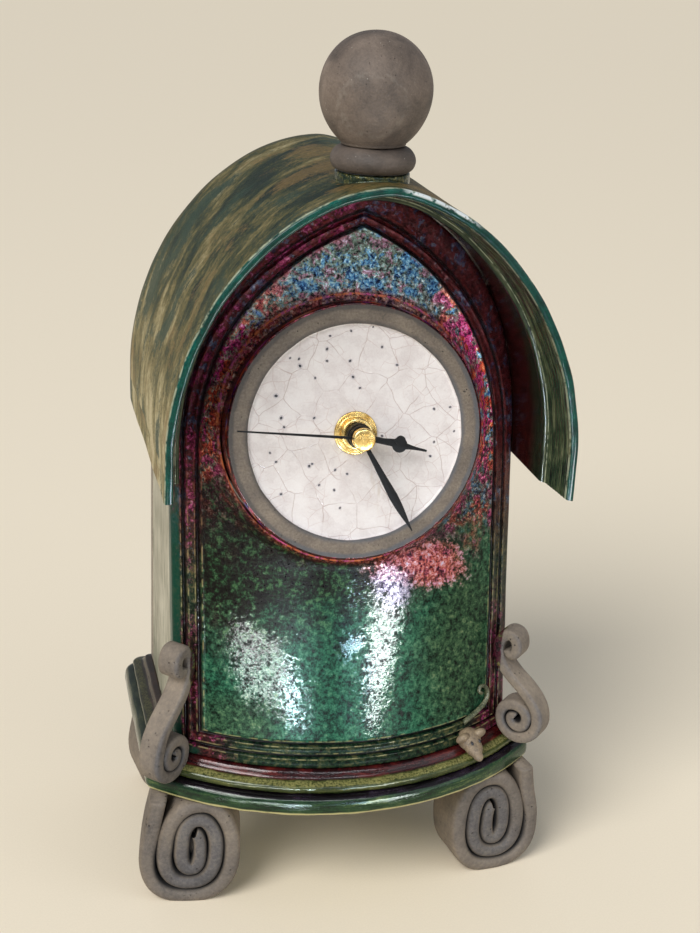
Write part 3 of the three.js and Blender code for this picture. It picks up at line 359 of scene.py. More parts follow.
# roof: brushed bronze on the flanks, glossy teal along the front lip, olive in the cove, dark under the vault
def roofGlaze():
    glaze = Finish("roofBronzeGlaze")
    ramp, mix, lay = glaze.ramp, glaze.mix, glaze.lay
    across, y = glaze.painted("across"), glaze.y
    turn = glaze.x.sum("ARCTAN2", glaze.z - 190, glaze.x) * 84  # millimetres round the vault
    brushed = glaze.vector(turn * 0.2 + y * 0.04, y + turn * 0.14, 0)
    streak = glaze.noise(1.2, 5, 0.78, 0, brushed)
    scratch = glaze.noise(0.45, 3, 0.75, 0, glaze.vector(turn * 0.3, y + turn * 0.16, 5))
    sweep = glaze.noise(15, 5, 0.7, 0.3, glaze.vector(turn * 0.5, y + turn * 0.25, 3))
    patch = glaze.noise(28, 4, 0.62, 0.3, glaze.vector(turn * 0.65, y, 9))
    grain = glaze.noise(0.8, 4, 0.8)
    ragged = (streak - 0.5) * 0.4 + (scratch - 0.5) * 0.35 + (grain - 0.5) * 0.3
    sunk = 0.1 - glaze.z.rise(190, 275) * 0.16  # paler toward the eaves
    bronze = ramp(sweep + ragged + sunk, (0.32, 24, 40, 30), (0.41, 52, 62, 40), (0.46, 86, 83, 48),
            (0.52, 112, 102, 62), (0.59, 142, 130, 88), (0.7, 190, 178, 142))
    rust = ramp(0.5 + ragged, (0.36, 70, 56, 30), (0.5, 122, 100, 56), (0.64, 164, 128, 86))
    bronze = mix((patch + ragged * 0.7).rise(0.55, 0.58) * 0.7, bronze, rust)
    slate = ramp(0.5 + ragged, (0.36, 20, 38, 32), (0.5, 44, 66, 52), (0.64, 92, 102, 76))
    bronze = mix((patch + ragged * 0.7).fall(0.4, 0.43) * 0.9, bronze, slate)
    teal = ramp(grain * 0.5 + glaze.noise(6, 3) * 0.5, (0.34, 2, 30, 27), (0.46, 2, 56, 50), (0.58, 5, 76, 67),
            (0.7, 26, 104, 92))
    lines = glaze.noise(0.5, 3, 0.6, 0.3, glaze.vector(turn * 0.03, across * 9, 0))
    cove = ramp(lines * 0.7 + streak * 0.3, (0.36, 12, 26, 20), (0.46, 34, 50, 36), (0.55, 64, 76, 54),
            (0.66, 116, 120, 92))
    vault = mix((y + glaze.noise(9, 2) * 8).rise(-34, -22), ramp(streak, (0.4, 10, 20, 14), (0.62, 36, 50, 34)),
            ramp(streak, (0.4, 18, 7, 7), (0.62, 58, 20, 18)))
    front = (y + glaze.noise(3, 2) * 0.8).fall(-59, -58.4) * across.fall(0.42, 0.46)
    glaze.body = mix(across.rise(0.4, 0.43), mix(front, bronze, teal), cove)
    lay(across.rise(0.9, 0.97), vault)
    lay(y.rise(56, 59) * 0.8, (84, 82, 62))
    arris = (across - 0.42).size().fall(0.01, 0.03).most((across - 0.76).size().fall(0.01, 0.03))
    arris = arris * y.fall(-40, -39)
    # a painted highlight along the outer front edge, laid with the pale glaze lines on the two inner arrises
    edge = (y + 59.1).size().fall(0.3, 0.9) * across.fall(0.1, 0.14)
    wearAndSheen = glaze.noise(3.4, 3, 0.65).rise(0.36, 0.56)
    lay(arris.most(edge) * wearAndSheen * 0.75, (172, 180, 156))
    # painted highlight: a white wet line on the lip right of the apex
    apexHighlight = glaze.x.rise(2, 8) * glaze.x.fall(26, 34) * glaze.z.rise(250, 262)
    apexHighlight = apexHighlight * glaze.noise(5, 3, 0.7).rise(0.4, 0.5)
    lay(apexHighlight * (y + 59.5).size().fall(0.5, 1.1) * across.fall(0.12, 0.2) * 0.9, (226, 234, 236))
    gloss = front.most(across.rise(0.4, 0.43))
    relief = glaze.bump((streak * 0.4 + scratch * 0.4 + grain * 0.4) * (1 - gloss * 0.9), 0.5)
    return glaze.done(rough=0.42 + streak * 0.2 - gloss * 0.46, metal=(1 - gloss) * 0.35, relief=relief,
            shine=0.22)


# plinth: green fascia with a pale foot, a groove darkened with painted shade, olive ridge, maroon cove
def plinthGlaze():
    glaze = Finish("plinthMouldingGlaze")
    ramp, mix, lay = glaze.ramp, glaze.mix, glaze.lay
    x, y = glaze.x, glaze.y
    turn = x.sum("ARCTAN2", x, case["bowCentre"] - y) * 112  # millimetres along the bow
    drawnOut = glaze.vector(turn * 0.12, glaze.z, 0)
    streak = glaze.noise(1.2, 4, 0.68, 0.3, drawnOut)
    height = glaze.z + (glaze.noise(7, 3) - 0.5) * 0.7
    broad = glaze.noise(20, 3, 0.6)
    grain = glaze.noise(0.9, 3, 0.7)
    tone = streak * 0.5 + broad * 0.3 + grain * 0.2
    green = ramp(tone, (0.36, 8, 20, 11), (0.46, 18, 46, 27), (0.55, 38, 70, 40), (0.66, 100, 114, 66))
    ridge = ramp(tone, (0.36, 22, 32, 13), (0.47, 50, 62, 29), (0.56, 82, 88, 44), (0.66, 146, 144, 88))
    maroon = ramp(tone, (0.36, 11, 5, 6), (0.47, 40, 10, 14), (0.56, 78, 22, 22), (0.66, 126, 50, 36))
    # near-black band in the groove between slab and step: painted shade
    groove = ramp(tone, (0.38, 6, 5, 7), (0.5, 16, 11, 16), (0.62, 44, 34, 50))
    glaze.body = mix(height.rise(52.5, 53), green, groove)
    lay(height.rise(54.1, 54.5), ridge)
    lay((height - 57.6).size().fall(0.15, 0.6) * grain.rise(0.35, 0.6) * 0.6, (176, 170, 108))
    lay(height.rise(57.9, 58.4), maroon)
    # pale line of glaze along the bottom arris, partly a painted highlight
    lay((height - 46.9).size().fall(0.4, 1) * broad.rise(0.3, 0.45) * 0.9, (204, 198, 142))
    lay(height.fall(46.1, 46.6) * broad.rise(0.5, 0.6), (40, 96, 92))
    away = y.rise(-30, 4)
    plain = ramp(tone, (0.36, 9, 17, 8), (0.5, 22, 36, 19), (0.62, 54, 60, 34))
    lay(away * 0.85, mix(height.rise(55, 58) * 0.6, plain, (34, 16, 12)))
    relief = glaze.bump(streak * 0.7 + grain * 0.2, 0.16)
    return glaze.done(rough=grain * 0.12 + 0.05, metal=0.12, relief=relief, shine=0.4)


# pale side walls with upright scraper lines
def paleWall():
    clay = Finish("paleWallGlaze")
    lines = clay.noise(1.3, 3, 0.6, place=(1, 1, 0.06))
    cloud = clay.noise(22, 3, 0.6)
    fine = clay.noise(0.8, 3)
    clay.body = clay.ramp(lines * 0.5 + cloud * 0.5, (0.36, 126, 122, 104), (0.5, 168, 163, 144),
            (0.64, 196, 191, 172))
    clay.lay(lines.fall(0.36, 0.46) * 0.5, (96, 100, 78))
    clay.lay(clay.z.fall(66, 92) * cloud.rise(0.4, 0.6) * 0.7, (72, 78, 56))
    return clay.done(rough=fine * 0.2 + 0.45, relief=clay.bump(lines * 0.8 + fine * 0.2, 0.4))


# white crackle of the dial face, in the dial's own plane
def whiteCrackle():
    glaze = Finish("whiteCrackleGlaze", dialPlane)
    large = glaze.cells(13, "DISTANCE_TO_EDGE", glaze.shifted(7, 16), "2D")
    small = glaze.cells(5.4, "DISTANCE_TO_EDGE", glaze.shifted(3, 7), "2D")
    web = large.fall(0.005, 0.018) * glaze.noise(9, 2).rise(0.3, 0.54)
    fineWeb = small.fall(0.01, 0.036) * glaze.noise(12, 2).rise(0.4, 0.6)
    cloud = glaze.noise(8, 3, 0.6)
    fine = glaze.noise(0.7, 3, 0.6)
    glaze.body = glaze.ramp(cloud * 0.7 + fine * 0.3, (0.34, 218, 211, 212), (0.5, 231, 226, 227),
            (0.66, 239, 236, 237))
    stain = glaze.noise(4, 3, place=(1, 0.3, 1)).rise(0.46, 0.7)
    beside = (glaze.x + glaze.y * 0.44 + 1.5).size().fall(0.5, 5)
    beside = beside * glaze.y.rise(-36, -26) * glaze.y.fall(-14, -8)
    glaze.lay(stain * beside * 0.55, (190, 172, 150))
    glaze.lay(fineWeb * 0.4, (186, 160, 157))
    glaze.lay(web * 0.5, (162, 134, 131))
    # painted shade: grey on the upper part of the wall round the sunk face
    recessShadeReach = (glaze.x ** 2 + glaze.y ** 2) ** 0.5 + (cloud - 0.5) * 1.2
    glaze.lay(recessShadeReach.rise(39.6, 40.6) * (glaze.z + dial["sink"]).rise(1, 1.7), (92, 86, 84))
    relief = glaze.bump(cloud * 0.5 - web * 0.2, 0.2)
    return glaze.done(rough=cloud * 0.15 + 0.2, relief=relief, shine=0.4)


# bare smoked ring round the face, darker at both its edges
def ringClay():
    clay = Finish("dialRingClay", dialPlane)
    cloud = clay.noise(12, 4, 0.6)
    fine = clay.noise(0.9, 3, 0.7)
    reach = (clay.x ** 2 + clay.y ** 2) ** 0.5 + (clay.noise(5, 3) - 0.5) * 1.6
    clay.body = clay.ramp(cloud * 0.55 + fine * 0.45, (0.34, 82, 73, 64), (0.5, 114, 102, 89),
            (0.64, 137, 124, 108))
    shade = reach.fall(41, 43).most(reach.rise(45.6, 47))
    clay.lay(shade * 0.75, clay.mix((clay.x - clay.y).rise(-10, 40), (58, 54, 52), (76, 82, 92)))
    specks = clay.cells(2).fall(0.07, 0.16) * clay.noise(6, 2).rise(0.5, 0.6)
    clay.lay(specks, (42, 38, 36))
    return clay.done(rough=fine * 0.1 + 0.55, relief=clay.bump(fine + cloud - specks, 0.28), shine=0.35)


# drum edge: dark lustre with a painted red, orange and violet highlight round its bullnose
def drumGlaze():
    glaze = Finish("drumLustreGlaze", dialPlane)
    blots = glaze.noise(3.4, 4, 0.65, 0.6)
    glaze.body = glaze.ramp(blots, (0.36, 14, 6, 10), (0.5, 52, 12, 20), (0.6, 112, 34, 32),
            (0.72, 150, 70, 110))
    # painted highlight: a bright line round the bullnose of the drum
    light = (glaze.z + 1.1).size().fall(0.25, 0.8) * glaze.noise(16, 2).rise(0.4, 0.55)
    rimHighlight = glaze.ramp(glaze.noise(11, 2), (0.36, 150, 60, 190), (0.46, 226, 92, 60), (0.54, 240, 150, 110),
            (0.64, 120, 120, 220))
    glaze.lay(light * 0.85, rimHighlight)
    return glaze.done(rough=blots * 0.12 + 0.08, metal=0.5, relief=glaze.bump(blots, 0.2), shine=0.5)


# plain finish: two noises, the share of the first in the tone, stops, roughness and relief of both
def plainFinish(name, coarse, fine, share, stops, rough, relief, **coat):
    plain = Finish(name)
    coarse, fine = plain.noise(*coarse), plain.noise(*fine)
    plain.body = plain.ramp(coarse * share + fine * (1 - share), *stops)
    height = plain.bump(coarse * relief[0] + fine * relief[1], relief[2])
    return plain.done(rough=fine * rough[0] + rough[1], relief=height, **coat)


# small fittings of the movement, in several colours
def fitting(name, dark, light, rough, metal=0):
    return plainFinish(name, (8, 2), (0.7, 3, 0.7), 0.5, [(0.35, *dark), (0.65, *light)], (0.15, rough),
            (0, 1, 0.03), metal=metal)


def evenFinish(name, grain, *stops, **coat):
    plain = Finish(name)
    plain.body = plain.ramp(plain.noise(*grain), *stops)
    return plain.done(**coat)


print("finishes")
footClay = smokedStrip("rolledFootClay", 0, False)
scrollClay = smokedStrip("rolledScrollClay", 6, True)
ballClay = smokedBall()
frontGlaze = frontLustre()
bronzeGlaze = roofGlaze()
mouldingGlaze = plinthGlaze()
# its palest stop, pale yellow, gives runs of glaze and partly painted glints
greenSeat = plainFinish("seatGreenGlaze", (2.2, 4, 0.66, 0.6), (0.7, 3), 0.6,
        [(0.36, 10, 20, 14), (0.5, 32, 52, 36), (0.6, 98, 92, 46), (0.7, 206, 196, 150)], (0.12, 0.04),
        (1, 0, 0.4), metal=0.3, shine=0.4)
wallGlaze = paleWall()
crackle = whiteCrackle()
bareRing = ringClay()
drumEdge = drumGlaze()
brass = plainFinish("polishedBrass", (3, 3), (0.5, 3, 0.7, 0, (1, 1, 0.2)), 0.7,
        [(0.35, 196, 156, 84), (0.5, 226, 192, 120), (0.66, 242, 218, 156)], (0.12, 0.2), (0, 1, 0.012),
        metal=1)
enamel = plainFinish("blackHandEnamel", (0.4, 3), (0.4, 3), 0, [(0.35, 6, 6, 7), (0.65, 13, 13, 14)],
        (0.2, 0.4), (0, 1, 0.015), shine=0.15)
mouseClay = plainFinish("mouseTanClay", (3, 4, 0.65), (0.5, 3), 0.6, [(0.34, 92, 78, 60), (0.5, 130, 112, 88),
        (0.66, 156, 138, 110)], (0.1, 0.62), (1, 0.4, 0.2))
tailFinish = plainFinish("tailDullGlaze", (2.4, 4, 0.65), (0.6, 3), 0.6,
        [(0.36, 40, 50, 34), (0.5, 84, 90, 66), (0.64, 132, 130, 104)], (0.2, 0.3), (1, 0, 0.2), shine=0.4)
rearClay = plainFinish("backClay", (24, 4, 0.6), (2, 3, 0.6, 0, (0.2, 1, 1)), 0.6,
        [(0.32, 104, 96, 86), (0.5, 142, 132, 118), (0.68, 170, 160, 142)], (0.2, 0.6), (0.5, 1, 0.4))
pinhole = evenFinish("pinholeInk", (0.3, 2), (0.4, 12, 12, 17), (0.6, 30, 30, 40), rough=0.45)
halo = evenFinish("pinholeHalo", (0.3, 2), (0.4, 192, 186, 194), (0.6, 214, 207, 208), rough=0.45)
plastic = fitting("movementPlastic", (28, 29, 31), (44, 46, 49), 0.45)
rubber = fitting("washerRubber", (18, 18, 18), (34, 33, 32), 0.75)
nylon = fitting("wheelNylon", (196, 192, 180), (224, 220, 208), 0.45)
steel = fitting("contactSteel", (150, 152, 155), (198, 200, 202), 0.25, 1)
wrapper = fitting("cellWrapper", (48, 76, 96), (74, 104, 126), 0.3, 0.2)


def added(name, data):
    made = bpy.data.objects.new(name, data)
    scene.collection.objects.link(made)
    return made


def settle(name, bm, finishes, nodes, body="clock_case", sharp=None, place=None):
    if place:
        bmesh.ops.transform(bm, matrix=place, verts=bm.verts)
    bmesh.ops.remove_doubles(bm, verts=bm.verts, dist=0.001)
    bmesh.ops.recalc_face_normals(bm, faces=bm.faces)
    bmesh.ops.scale(bm, vec=(mm, mm, mm), verts=bm.verts)
    mesh = bpy.data.meshes.new(name)
    bm.to_mesh(mesh)
    bm.free()
    mesh.shade_smooth()
    if sharp:
        mesh.set_sharp_from_angle(angle=radians(sharp))
    for finish in finishes:
        mesh.materials.append(finish)
    piece = added(name, mesh)
    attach(piece, body)
    if nodes:
        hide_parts(*nodes)
    print(name, len(mesh.polygons))
    return piece


def wobble(bm, amount, size, seed):  # the unevenness of hand-built clay
    for vert in bm.verts:
        vert.co += noise.noise_vector(vert.co / size + Vector((seed, 2 * seed, -seed))) * amount


def around(ring):  # each point with the next one
    return zip(ring, ring[1:] + ring[:1])


def startRing(bm, points):
    ring = [bm.verts.new(point) for point in points]
    for pair in around(ring):
        bm.edges.new(pair)
    return ring


def nextRing(bm, ring, points):  # pulls a ring of edges on to new places
    edges = [bm.edges.get(pair) for pair in around(ring)]
    made = set(bmesh.ops.extrude_edge_only(bm, edges=edges)["geom"])
    fresh = []
    for vert, point in zip(ring, points):
        twin = next(e.other_vert(vert) for e in vert.link_edges if e.other_vert(vert) in made)
        twin.co = point
        fresh.append(twin)
    return fresh


def drawn(bm, rings, capped=True):
    made = [startRing(bm, rings[0])]
    for points in rings[1:]:
        made.append(nextRing(bm, made[-1], points))
    if capped:
        bm.faces.new(made[0])
        bm.faces.new(made[-1])
    return made


def pulled(bm, faces):  # extrudes faces and gives their new points
    made = bmesh.ops.extrude_face_region(bm, geom=faces)["geom"]
    return [part for part in made if isinstance(part, bmesh.types.BMVert)]


def shaped(bm, verts, stretch, at):
    bmesh.ops.scale(bm, vec=stretch, verts=verts)
    bmesh.ops.translate(bm, vec=at, verts=verts)


def heading(points, at):
    return (points[min(at + 1, len(points) - 1)] - points[max(at - 1, 0)]).normalized()


def lathe(bm, profile, steps):  # profile of radius and height, about Z
    verts = [bm.verts.new((radius, 0, height)) for radius, height in profile]
    edges = [bm.edges.new(pair) for pair in zip(verts, verts[1:])]
    bmesh.ops.spin(bm, geom=verts + edges, cent=(0, 0, 0), axis=(0, 0, 1), angle=2 * pi, steps=steps,
            use_merge=True)
    bmesh.ops.remove_doubles(bm, verts=bm.verts, dist=0.001)


def rounded(corners, closed=False, steps=5):  # softens each corner that gives a radius as its third value
    points = []
    count = len(corners)
    for at, (x, y, *soft) in enumerate(corners):
        here = Vector((x, y))
        if not soft or (not closed and at in (0, count - 1)):
            points.append(here)
            continue
        before, after = Vector(corners[at - 1][:2]), Vector(corners[(at + 1) % count][:2])
        start = here + (before - here).normalized() * min(soft[0], (before - here).length / 2)
        end = here + (after - here).normalized() * min(soft[0], (after - here).length / 2)
        points += spread(steps, lambda t: start.lerp(here, t).lerp(here.lerp(end, t), t))
    return [(p.x, p.y) for p in points]


def stripSection(thickness, depth, soft, along):  # rounded section of a rolled strip
    halfT, halfD = thickness / 2, depth / 2
    side = [(halfT, between(-halfD + soft, halfD - soft, t / along)) for t in range(1, along)]
    corners = [(halfT, -halfD, soft), *side, (halfT, halfD, soft), (-halfT, halfD, soft),
            *[(-a, -b) for a, b in side], (-halfT, -halfD, soft)]
    return rounded(corners, True, 4)


# carries the section along a flat path, whose steps say how far
# their right and left sides lie against the next turn
def rolled(bm, path, section, eye, near, place):
    crease, touch, wound = [bm.verts.layers.float.new(key) for key in ("crease", "near", "wound")]
    half = max(a for a, _ in section)
    rings, creaseShades, sides = [], [], []
    points = [point for point, *_ in path]
    for at, (point, right, left) in enumerate(path):
        along = heading(points, at)
        thin = between(eye, 1, ease(0, 0.22, at / (len(path) - 1)))
        flat = [(point.x + along.y * a * thin, b, point.y - along.x * a * thin) for a, b in section]
        rings.append([place(*spot) for spot in flat])
        # painted shade values: how deep each point lies in the crease against the next turn
        creaseShades.append([max(a / half * right, -a / half * left, 0) ** 2.4 for a, _ in section])
        sides.append([ease(near, near - 5, across) for across, _, _ in flat])
    for at, (ring, fold, side) in enumerate(zip(drawn(bm, rings), creaseShades, sides)):
        for vert, dark, lit in zip(ring, fold, side):
            vert[crease], vert[touch], vert[wound] = dark, lit, at / len(path)


def panelY(x, z):
    return case["bowCentre"] - sqrt(case["bow"] ** 2 - x * x) + (z - case["base"]) * tan(lean)


def archPoint(inset, angle):
    x = (case["halfWidth"] - inset) * copysign(abs(cos(angle)) ** (2 / case["power"]), cos(angle))
    return Vector((x, case["spring"] + (case["rise"] - inset) * sin(angle) - case["cant"] * x))


# four rolled feet
foot = {"height": 46, "halfWidth": 16.7, "pitch": 6.5, "strip": 6.55, "turns": 2.72, "depth": 21, "taper": 0.24,
        "shear": 0.09, "settle": 0.9, "soft": 2.9, "steps": 190, "columns": 6, "eye": 0.85, "near": -99,
        "lift": 2.85, "spare": 0.4, "square": 0.85}


def footPath():
    pitch = foot["pitch"]
    tall = foot["height"] / 2 + foot["spare"] + foot["settle"]
    centre = foot["lift"] + tall - pitch / 4 - foot["settle"]

    def wind(share):
        back = (1 - share) * foot["turns"]
        angle = pi * (1 + 2 * back)
        across, up = [copysign(abs(v) ** foot["square"], v) for v in (cos(angle), sin(angle))]
        return Vector(((foot["halfWidth"] - back * pitch + pitch / 4) * across,
                (tall - back * pitch) * up)), 1, ease(0.85, 1.05, back)

    path = spread(foot["steps"], wind)
    end, top = path[-1][0].x, foot["height"] + foot["settle"] - centre
    path += [(Vector((end, top * step / 12)), 1 - step / 12, 0) for step in range(1, 13)]

    def leaned(p):
        return Vector((p.x * (1 - foot["taper"] * p.y / foot["height"]) + foot["shear"] * p.y, p.y + centre))

    return [(leaned(point), right, left) for point, right, left in path]


def rolledFoot(name, node, x, y, side, turn, seed):
    bm = bmesh.new()
    turn = radians(turn)
    section = stripSection(foot["strip"], foot["depth"], foot["soft"], foot["columns"])

    def place(across, deep, up):
        return Vector((x + side * (across * cos(turn) + deep * sin(turn)),
                y + deep * cos(turn) - across * sin(turn), up))

    rolled(bm, footPath(), section, foot["eye"], foot["near"], place)
    plug = bmesh.ops.create_icosphere(bm, subdivisions=2, radius=4)["verts"]
    shaped(bm, plug, (1, 1.8, 2), (x, y, foot["height"] / 2))  # closes the eye of the roll
    wobble(bm, amount=0.35, size=12, seed=seed)
    for vert in bm.verts:  # flat where it stands and where the slab rests
        vert.co.z = min(max(vert.co.z, 0), foot["height"])
    settle(name, bm, [footClay], [node])


rolledFoot("rolledFootFrontLeft", "front_left_foot", x=-61.4, y=-34.75, side=1, turn=9, seed=1)
rolledFoot("rolledFootFrontRight", "front_right_foot", x=60.6, y=-34.75, side=-1, turn=9, seed=2)
rolledFoot("rolledFootRearLeft", "rear_left_foot", x=-56.4, y=46.75, side=1, turn=-9, seed=3)
rolledFoot("rolledFootRearRight", "rear_right_foot", x=55.6, y=46.75, side=-1, turn=-9, seed=4)

# plinth slab and its moulded step
plinth = {"halfWidth": 80.5, "rear": 63.25, "bow": 116, "corner": 6, "slab": 46.3, "step": 54.1}
slabRings = [(0.3, 4), (0, 2.2), (0.1, 0.9), (0.5, 0.35), (1.2, 0.05), (2.4, 0), (3.8, 0.15), (5.1, 0.35),
        (6, 0.75), (6.7, 1.3), (7.2, 2.1), (7.5, 3.2), (7.5, 5)]
stepRings = [(0, 6), (0, 4.3), (0.25, 3.8), (0.6, 3.5), (1.5, 3.3), (2.4, 3.4), (3, 3.8), (3.4, 4.5),
        (3.6, 5.5), (3.8, 6.4), (4.1, 7.2), (4.6, 7.8), (5.6, 8.3), (6.6, 8.8), (7, 9.4), (7, 12)]


def plinthLoop(inset, height):
    half, bow = plinth["halfWidth"] - inset, plinth["bow"] - inset
    radius = max(plinth["corner"] - inset / 2, 1)
    cornerX = half - radius
    frontY = case["bowCentre"] - sqrt((bow - radius) ** 2 - cornerX ** 2)
    rearY = plinth["rear"] - inset - radius
    turn = atan2(frontY - case["bowCentre"], cornerX)

    def arc(x, y, reach, start, end, count):
        angles = spread(count, lambda t: between(start, end, t))
        return [Vector((x + reach * cos(a), y + reach * sin(a), height)) for a in angles]

    def line(first, last, count):
        return [first.lerp(last, step / count) for step in range(1, count)]

    parts = [arc(0, case["bowCentre"], bow, -pi - turn, turn, 80)[1:-1],
            arc(cornerX, frontY, radius, turn, 0, 8), arc(cornerX, rearY, radius, 0, pi / 2, 8),
            arc(-cornerX, rearY, radius, pi / 2, pi, 8), arc(-cornerX, frontY, radius, -pi, -pi - turn, 8)]
    return [*parts[0], *parts[1], *line(parts[1][-1], parts[2][0], 30), *parts[2],
            *line(parts[2][-1], parts[3][0], 36), *parts[3], *line(parts[3][-1], parts[4][0], 30), *parts[4]]


def plinthLayer(name, node, base, rings, seed):
    bm = bmesh.new()
    drawn(bm, [plinthLoop(inset, base + height) for height, inset in rings])
    for vert in bm.verts:
        low = ease(1.3, 0, vert.co.z - base)
        drip = max(noise.noise(vert.co / 5 + Vector((seed, 0, 0))), 0) * low * 0.5
        amount = Vector((0.28, 0.28, 0.08 * (1 - low)))
        vert.co += noise.noise_vector(vert.co / 9 + Vector((seed, 0, 3))) * amount
        vert.co.z = max(vert.co.z - drip, base - 0.25)
    settle(name, bm, [mouldingGlaze], [node], sharp=50)


plinthLayer("glazedPlinthSlab", "plinth_slab", plinth["slab"], slabRings, seed=5)
plinthLayer("mouldedPlinthStep", "plinth_step", plinth["step"], stepRings, seed=6)

# front slab: rings from its edge, over the two grooves, to the drum of the dial
panel = {"thickness": 7, "hole": 49.3, "low": 56, "side": 44, "arch": 46, "field": 30, "fillet": (1.4, 8),
        "filletEnd": (54, 60), "collar": 9}
grooveCut = [(2, 0), (1.5, -0.22), (1.15, -0.3), (0.9, -0.05), (0.7, 0.55), (0.45, 1.05), (0.2, 1.3),
        (-0.2, 1.3), (-0.45, 1.05), (-0.7, 0.55), (-0.9, -0.05), (-1.15, -0.3), (-1.5, -0.22), (-2, 0)]


def panelLoop(half, bottom, arc):  # bottom, right side, arch, left side
    def canted(x, z):
        return x, z - case["cant"] * x

    def shares(key):
        return [step / panel[key] for step in range(panel[key])]

    right = [canted(*arc(t)) for t in shares("arch")]
    left = [canted(-x, z) for x, z in (arc(1 - t) for t in shares("arch"))]
    end = canted(-half, arc(0)[1])
    low = [(half * (2 * t - 1), bottom) for t in shares("low")]
    up = [(half, between(bottom, right[0][1], t)) for t in shares("side")]
    down = [(-half, between(end[1], bottom, t)) for t in shares("side")]
    return [*low, *up, *right, *left, *down]


def borderLoop(outward):
    half, rise = border["half"] + outward, border["rise"] + 0.8 * outward
    reach = (half ** 2 + rise ** 2) / (2 * half)
    start = acos((reach - half) / reach)

    def arc(t):
        return reach * cos(start * t) - reach + half, border["spring"] + reach * sin(start * t)

    return panelLoop(half, border["foot"] - outward, arc)


def edgeLoop():
    def arc(t):
        x = case["halfWidth"] * cos(t * pi / 2) ** (2 / case["power"])
        return x, case["spring"] + case["rise"] * sin(t * pi / 2)

    return panelLoop(case["halfWidth"], case["base"], arc)


def drumPoint(angle, radius):  # where the drum comes out of the slab
    across, up = Vector((radius * cos(angle), 0, 0)), dialUp * radius * sin(angle)
    reach = 0
    for _ in range(4):
        point = dialCentre + across + up + dialOut * reach
        reach += (point.y - panelY(point.x, point.z)) / cos(lean)
    return point.x, point.z


def onPanel(x, z, deep):
    across = Vector((x, panelY(x, z), z)) - dialCentre
    radius = hypot(across.x, across.dot(dialUp))
    side = (across.x / max(radius, 1)) ** 2
    end = between(*panel["filletEnd"], side)
    fillet = between(*panel["fillet"], side) * ease(end, dial["radius"], radius) ** 1.3
    return Vector((x, panelY(x, z) + deep - fillet, z))


def frontSlab():
    bm = bmesh.new()
    edge, outer, field = edgeLoop(), borderLoop(7.4), borderLoop(-2.2)
    drum = [drumPoint(atan2((z - dial["z"]) / cos(lean), x - dial["x"]), panel["hole"]) for x, z in field]

    def shared(first, last, share):
        return [(between(a[0], b[0], share), between(a[1], b[1], share)) for a, b in zip(first, last)]

    rows = [(edge, panel["thickness"]), (edge, 3), (edge, 1), (shared(edge, outer, 0.1), 0.3),
            (shared(edge, outer, 0.35), 0), (shared(edge, outer, 0.7), 0)]
    rows += [(borderLoop(border["spacing"] + at), deep) for at, deep in grooveCut]
    rows += [(borderLoop(at), deep) for at, deep in grooveCut]
    rows += [(shared(field, drum, 1 - (1 - step / panel["field"]) ** 1.5), 0)
            for step in range(panel["field"] + 1)]
    rings = [[onPanel(x, z, deep) for x, z in loop] for loop, deep in rows]
    rings.append([point + Vector((0, panel["collar"], 0)) for point in rings[-1]])
    made = drawn(bm, rings, False)
    rims = [bm.edges.get(pair) for ring in (made[0], made[-1]) for pair in around(ring)]
    for face in bmesh.ops.bridge_loops(bm, edges=rims)["faces"]:  # bare inside
        face.material_index = 1
    wobble(bm, amount=0.22, size=16, seed=7)
    settle("bowedFrontSlab", bm, [frontGlaze, rearClay], ["front_panel"], sharp=55)


frontSlab()

# side walls between the front slab and the back
wall = {"outer": 69, "inner": 63, "rear": 47.15, "front": 7.3, "columns": 36, "rows": 60}


def sideWall(name, node, side):
    bm = bmesh.new()
    made = bmesh.ops.create_grid(bm, x_segments=wall["columns"], y_segments=wall["rows"], size=1)["verts"]
    top = archPoint(0, 0 if side > 0 else pi).y
    for vert in made:
        deep, up = (vert.co.x + 1) / 2, (vert.co.y + 1) / 2
        z = between(case["base"], top, up)
        front = panelY(wall["outer"], z) + wall["front"]
        ripple = noise.noise(Vector((deep * 40, up * 3, side))) * 0.18
        vert.co = Vector((side * (wall["outer"] - 0.2 + ripple), between(front, wall["rear"], deep), z))
    inside = pulled(bm, bm.faces[:])
    lift = archPoint(0, acos((wall["inner"] / wall["outer"]) ** (case["power"] / 2))).y
    for vert in inside:
        vert.co.x = side * wall["inner"]
        vert.co.z = between(case["base"], lift, (vert.co.z - case["base"]) / (top - case["base"]))
    settle(name, bm, [wallGlaze], [node], sharp=40)


sideWall("scrapedLeftWall", "left_wall", side=-1)
sideWall("scrapedRightWall", "right_wall", side=1)

# arched roof: front lip, a cove drawn with a comb, then the vault
roof = {"thickness": 7.6, "gap": 0.3, "rear": 60.75, "front": -60.25, "drop": 13.4, "bevel": 1.5, "steps": 130,
        "lip": 0.42, "cove": 0.72, "coveDepth": 17, "combs": 7}


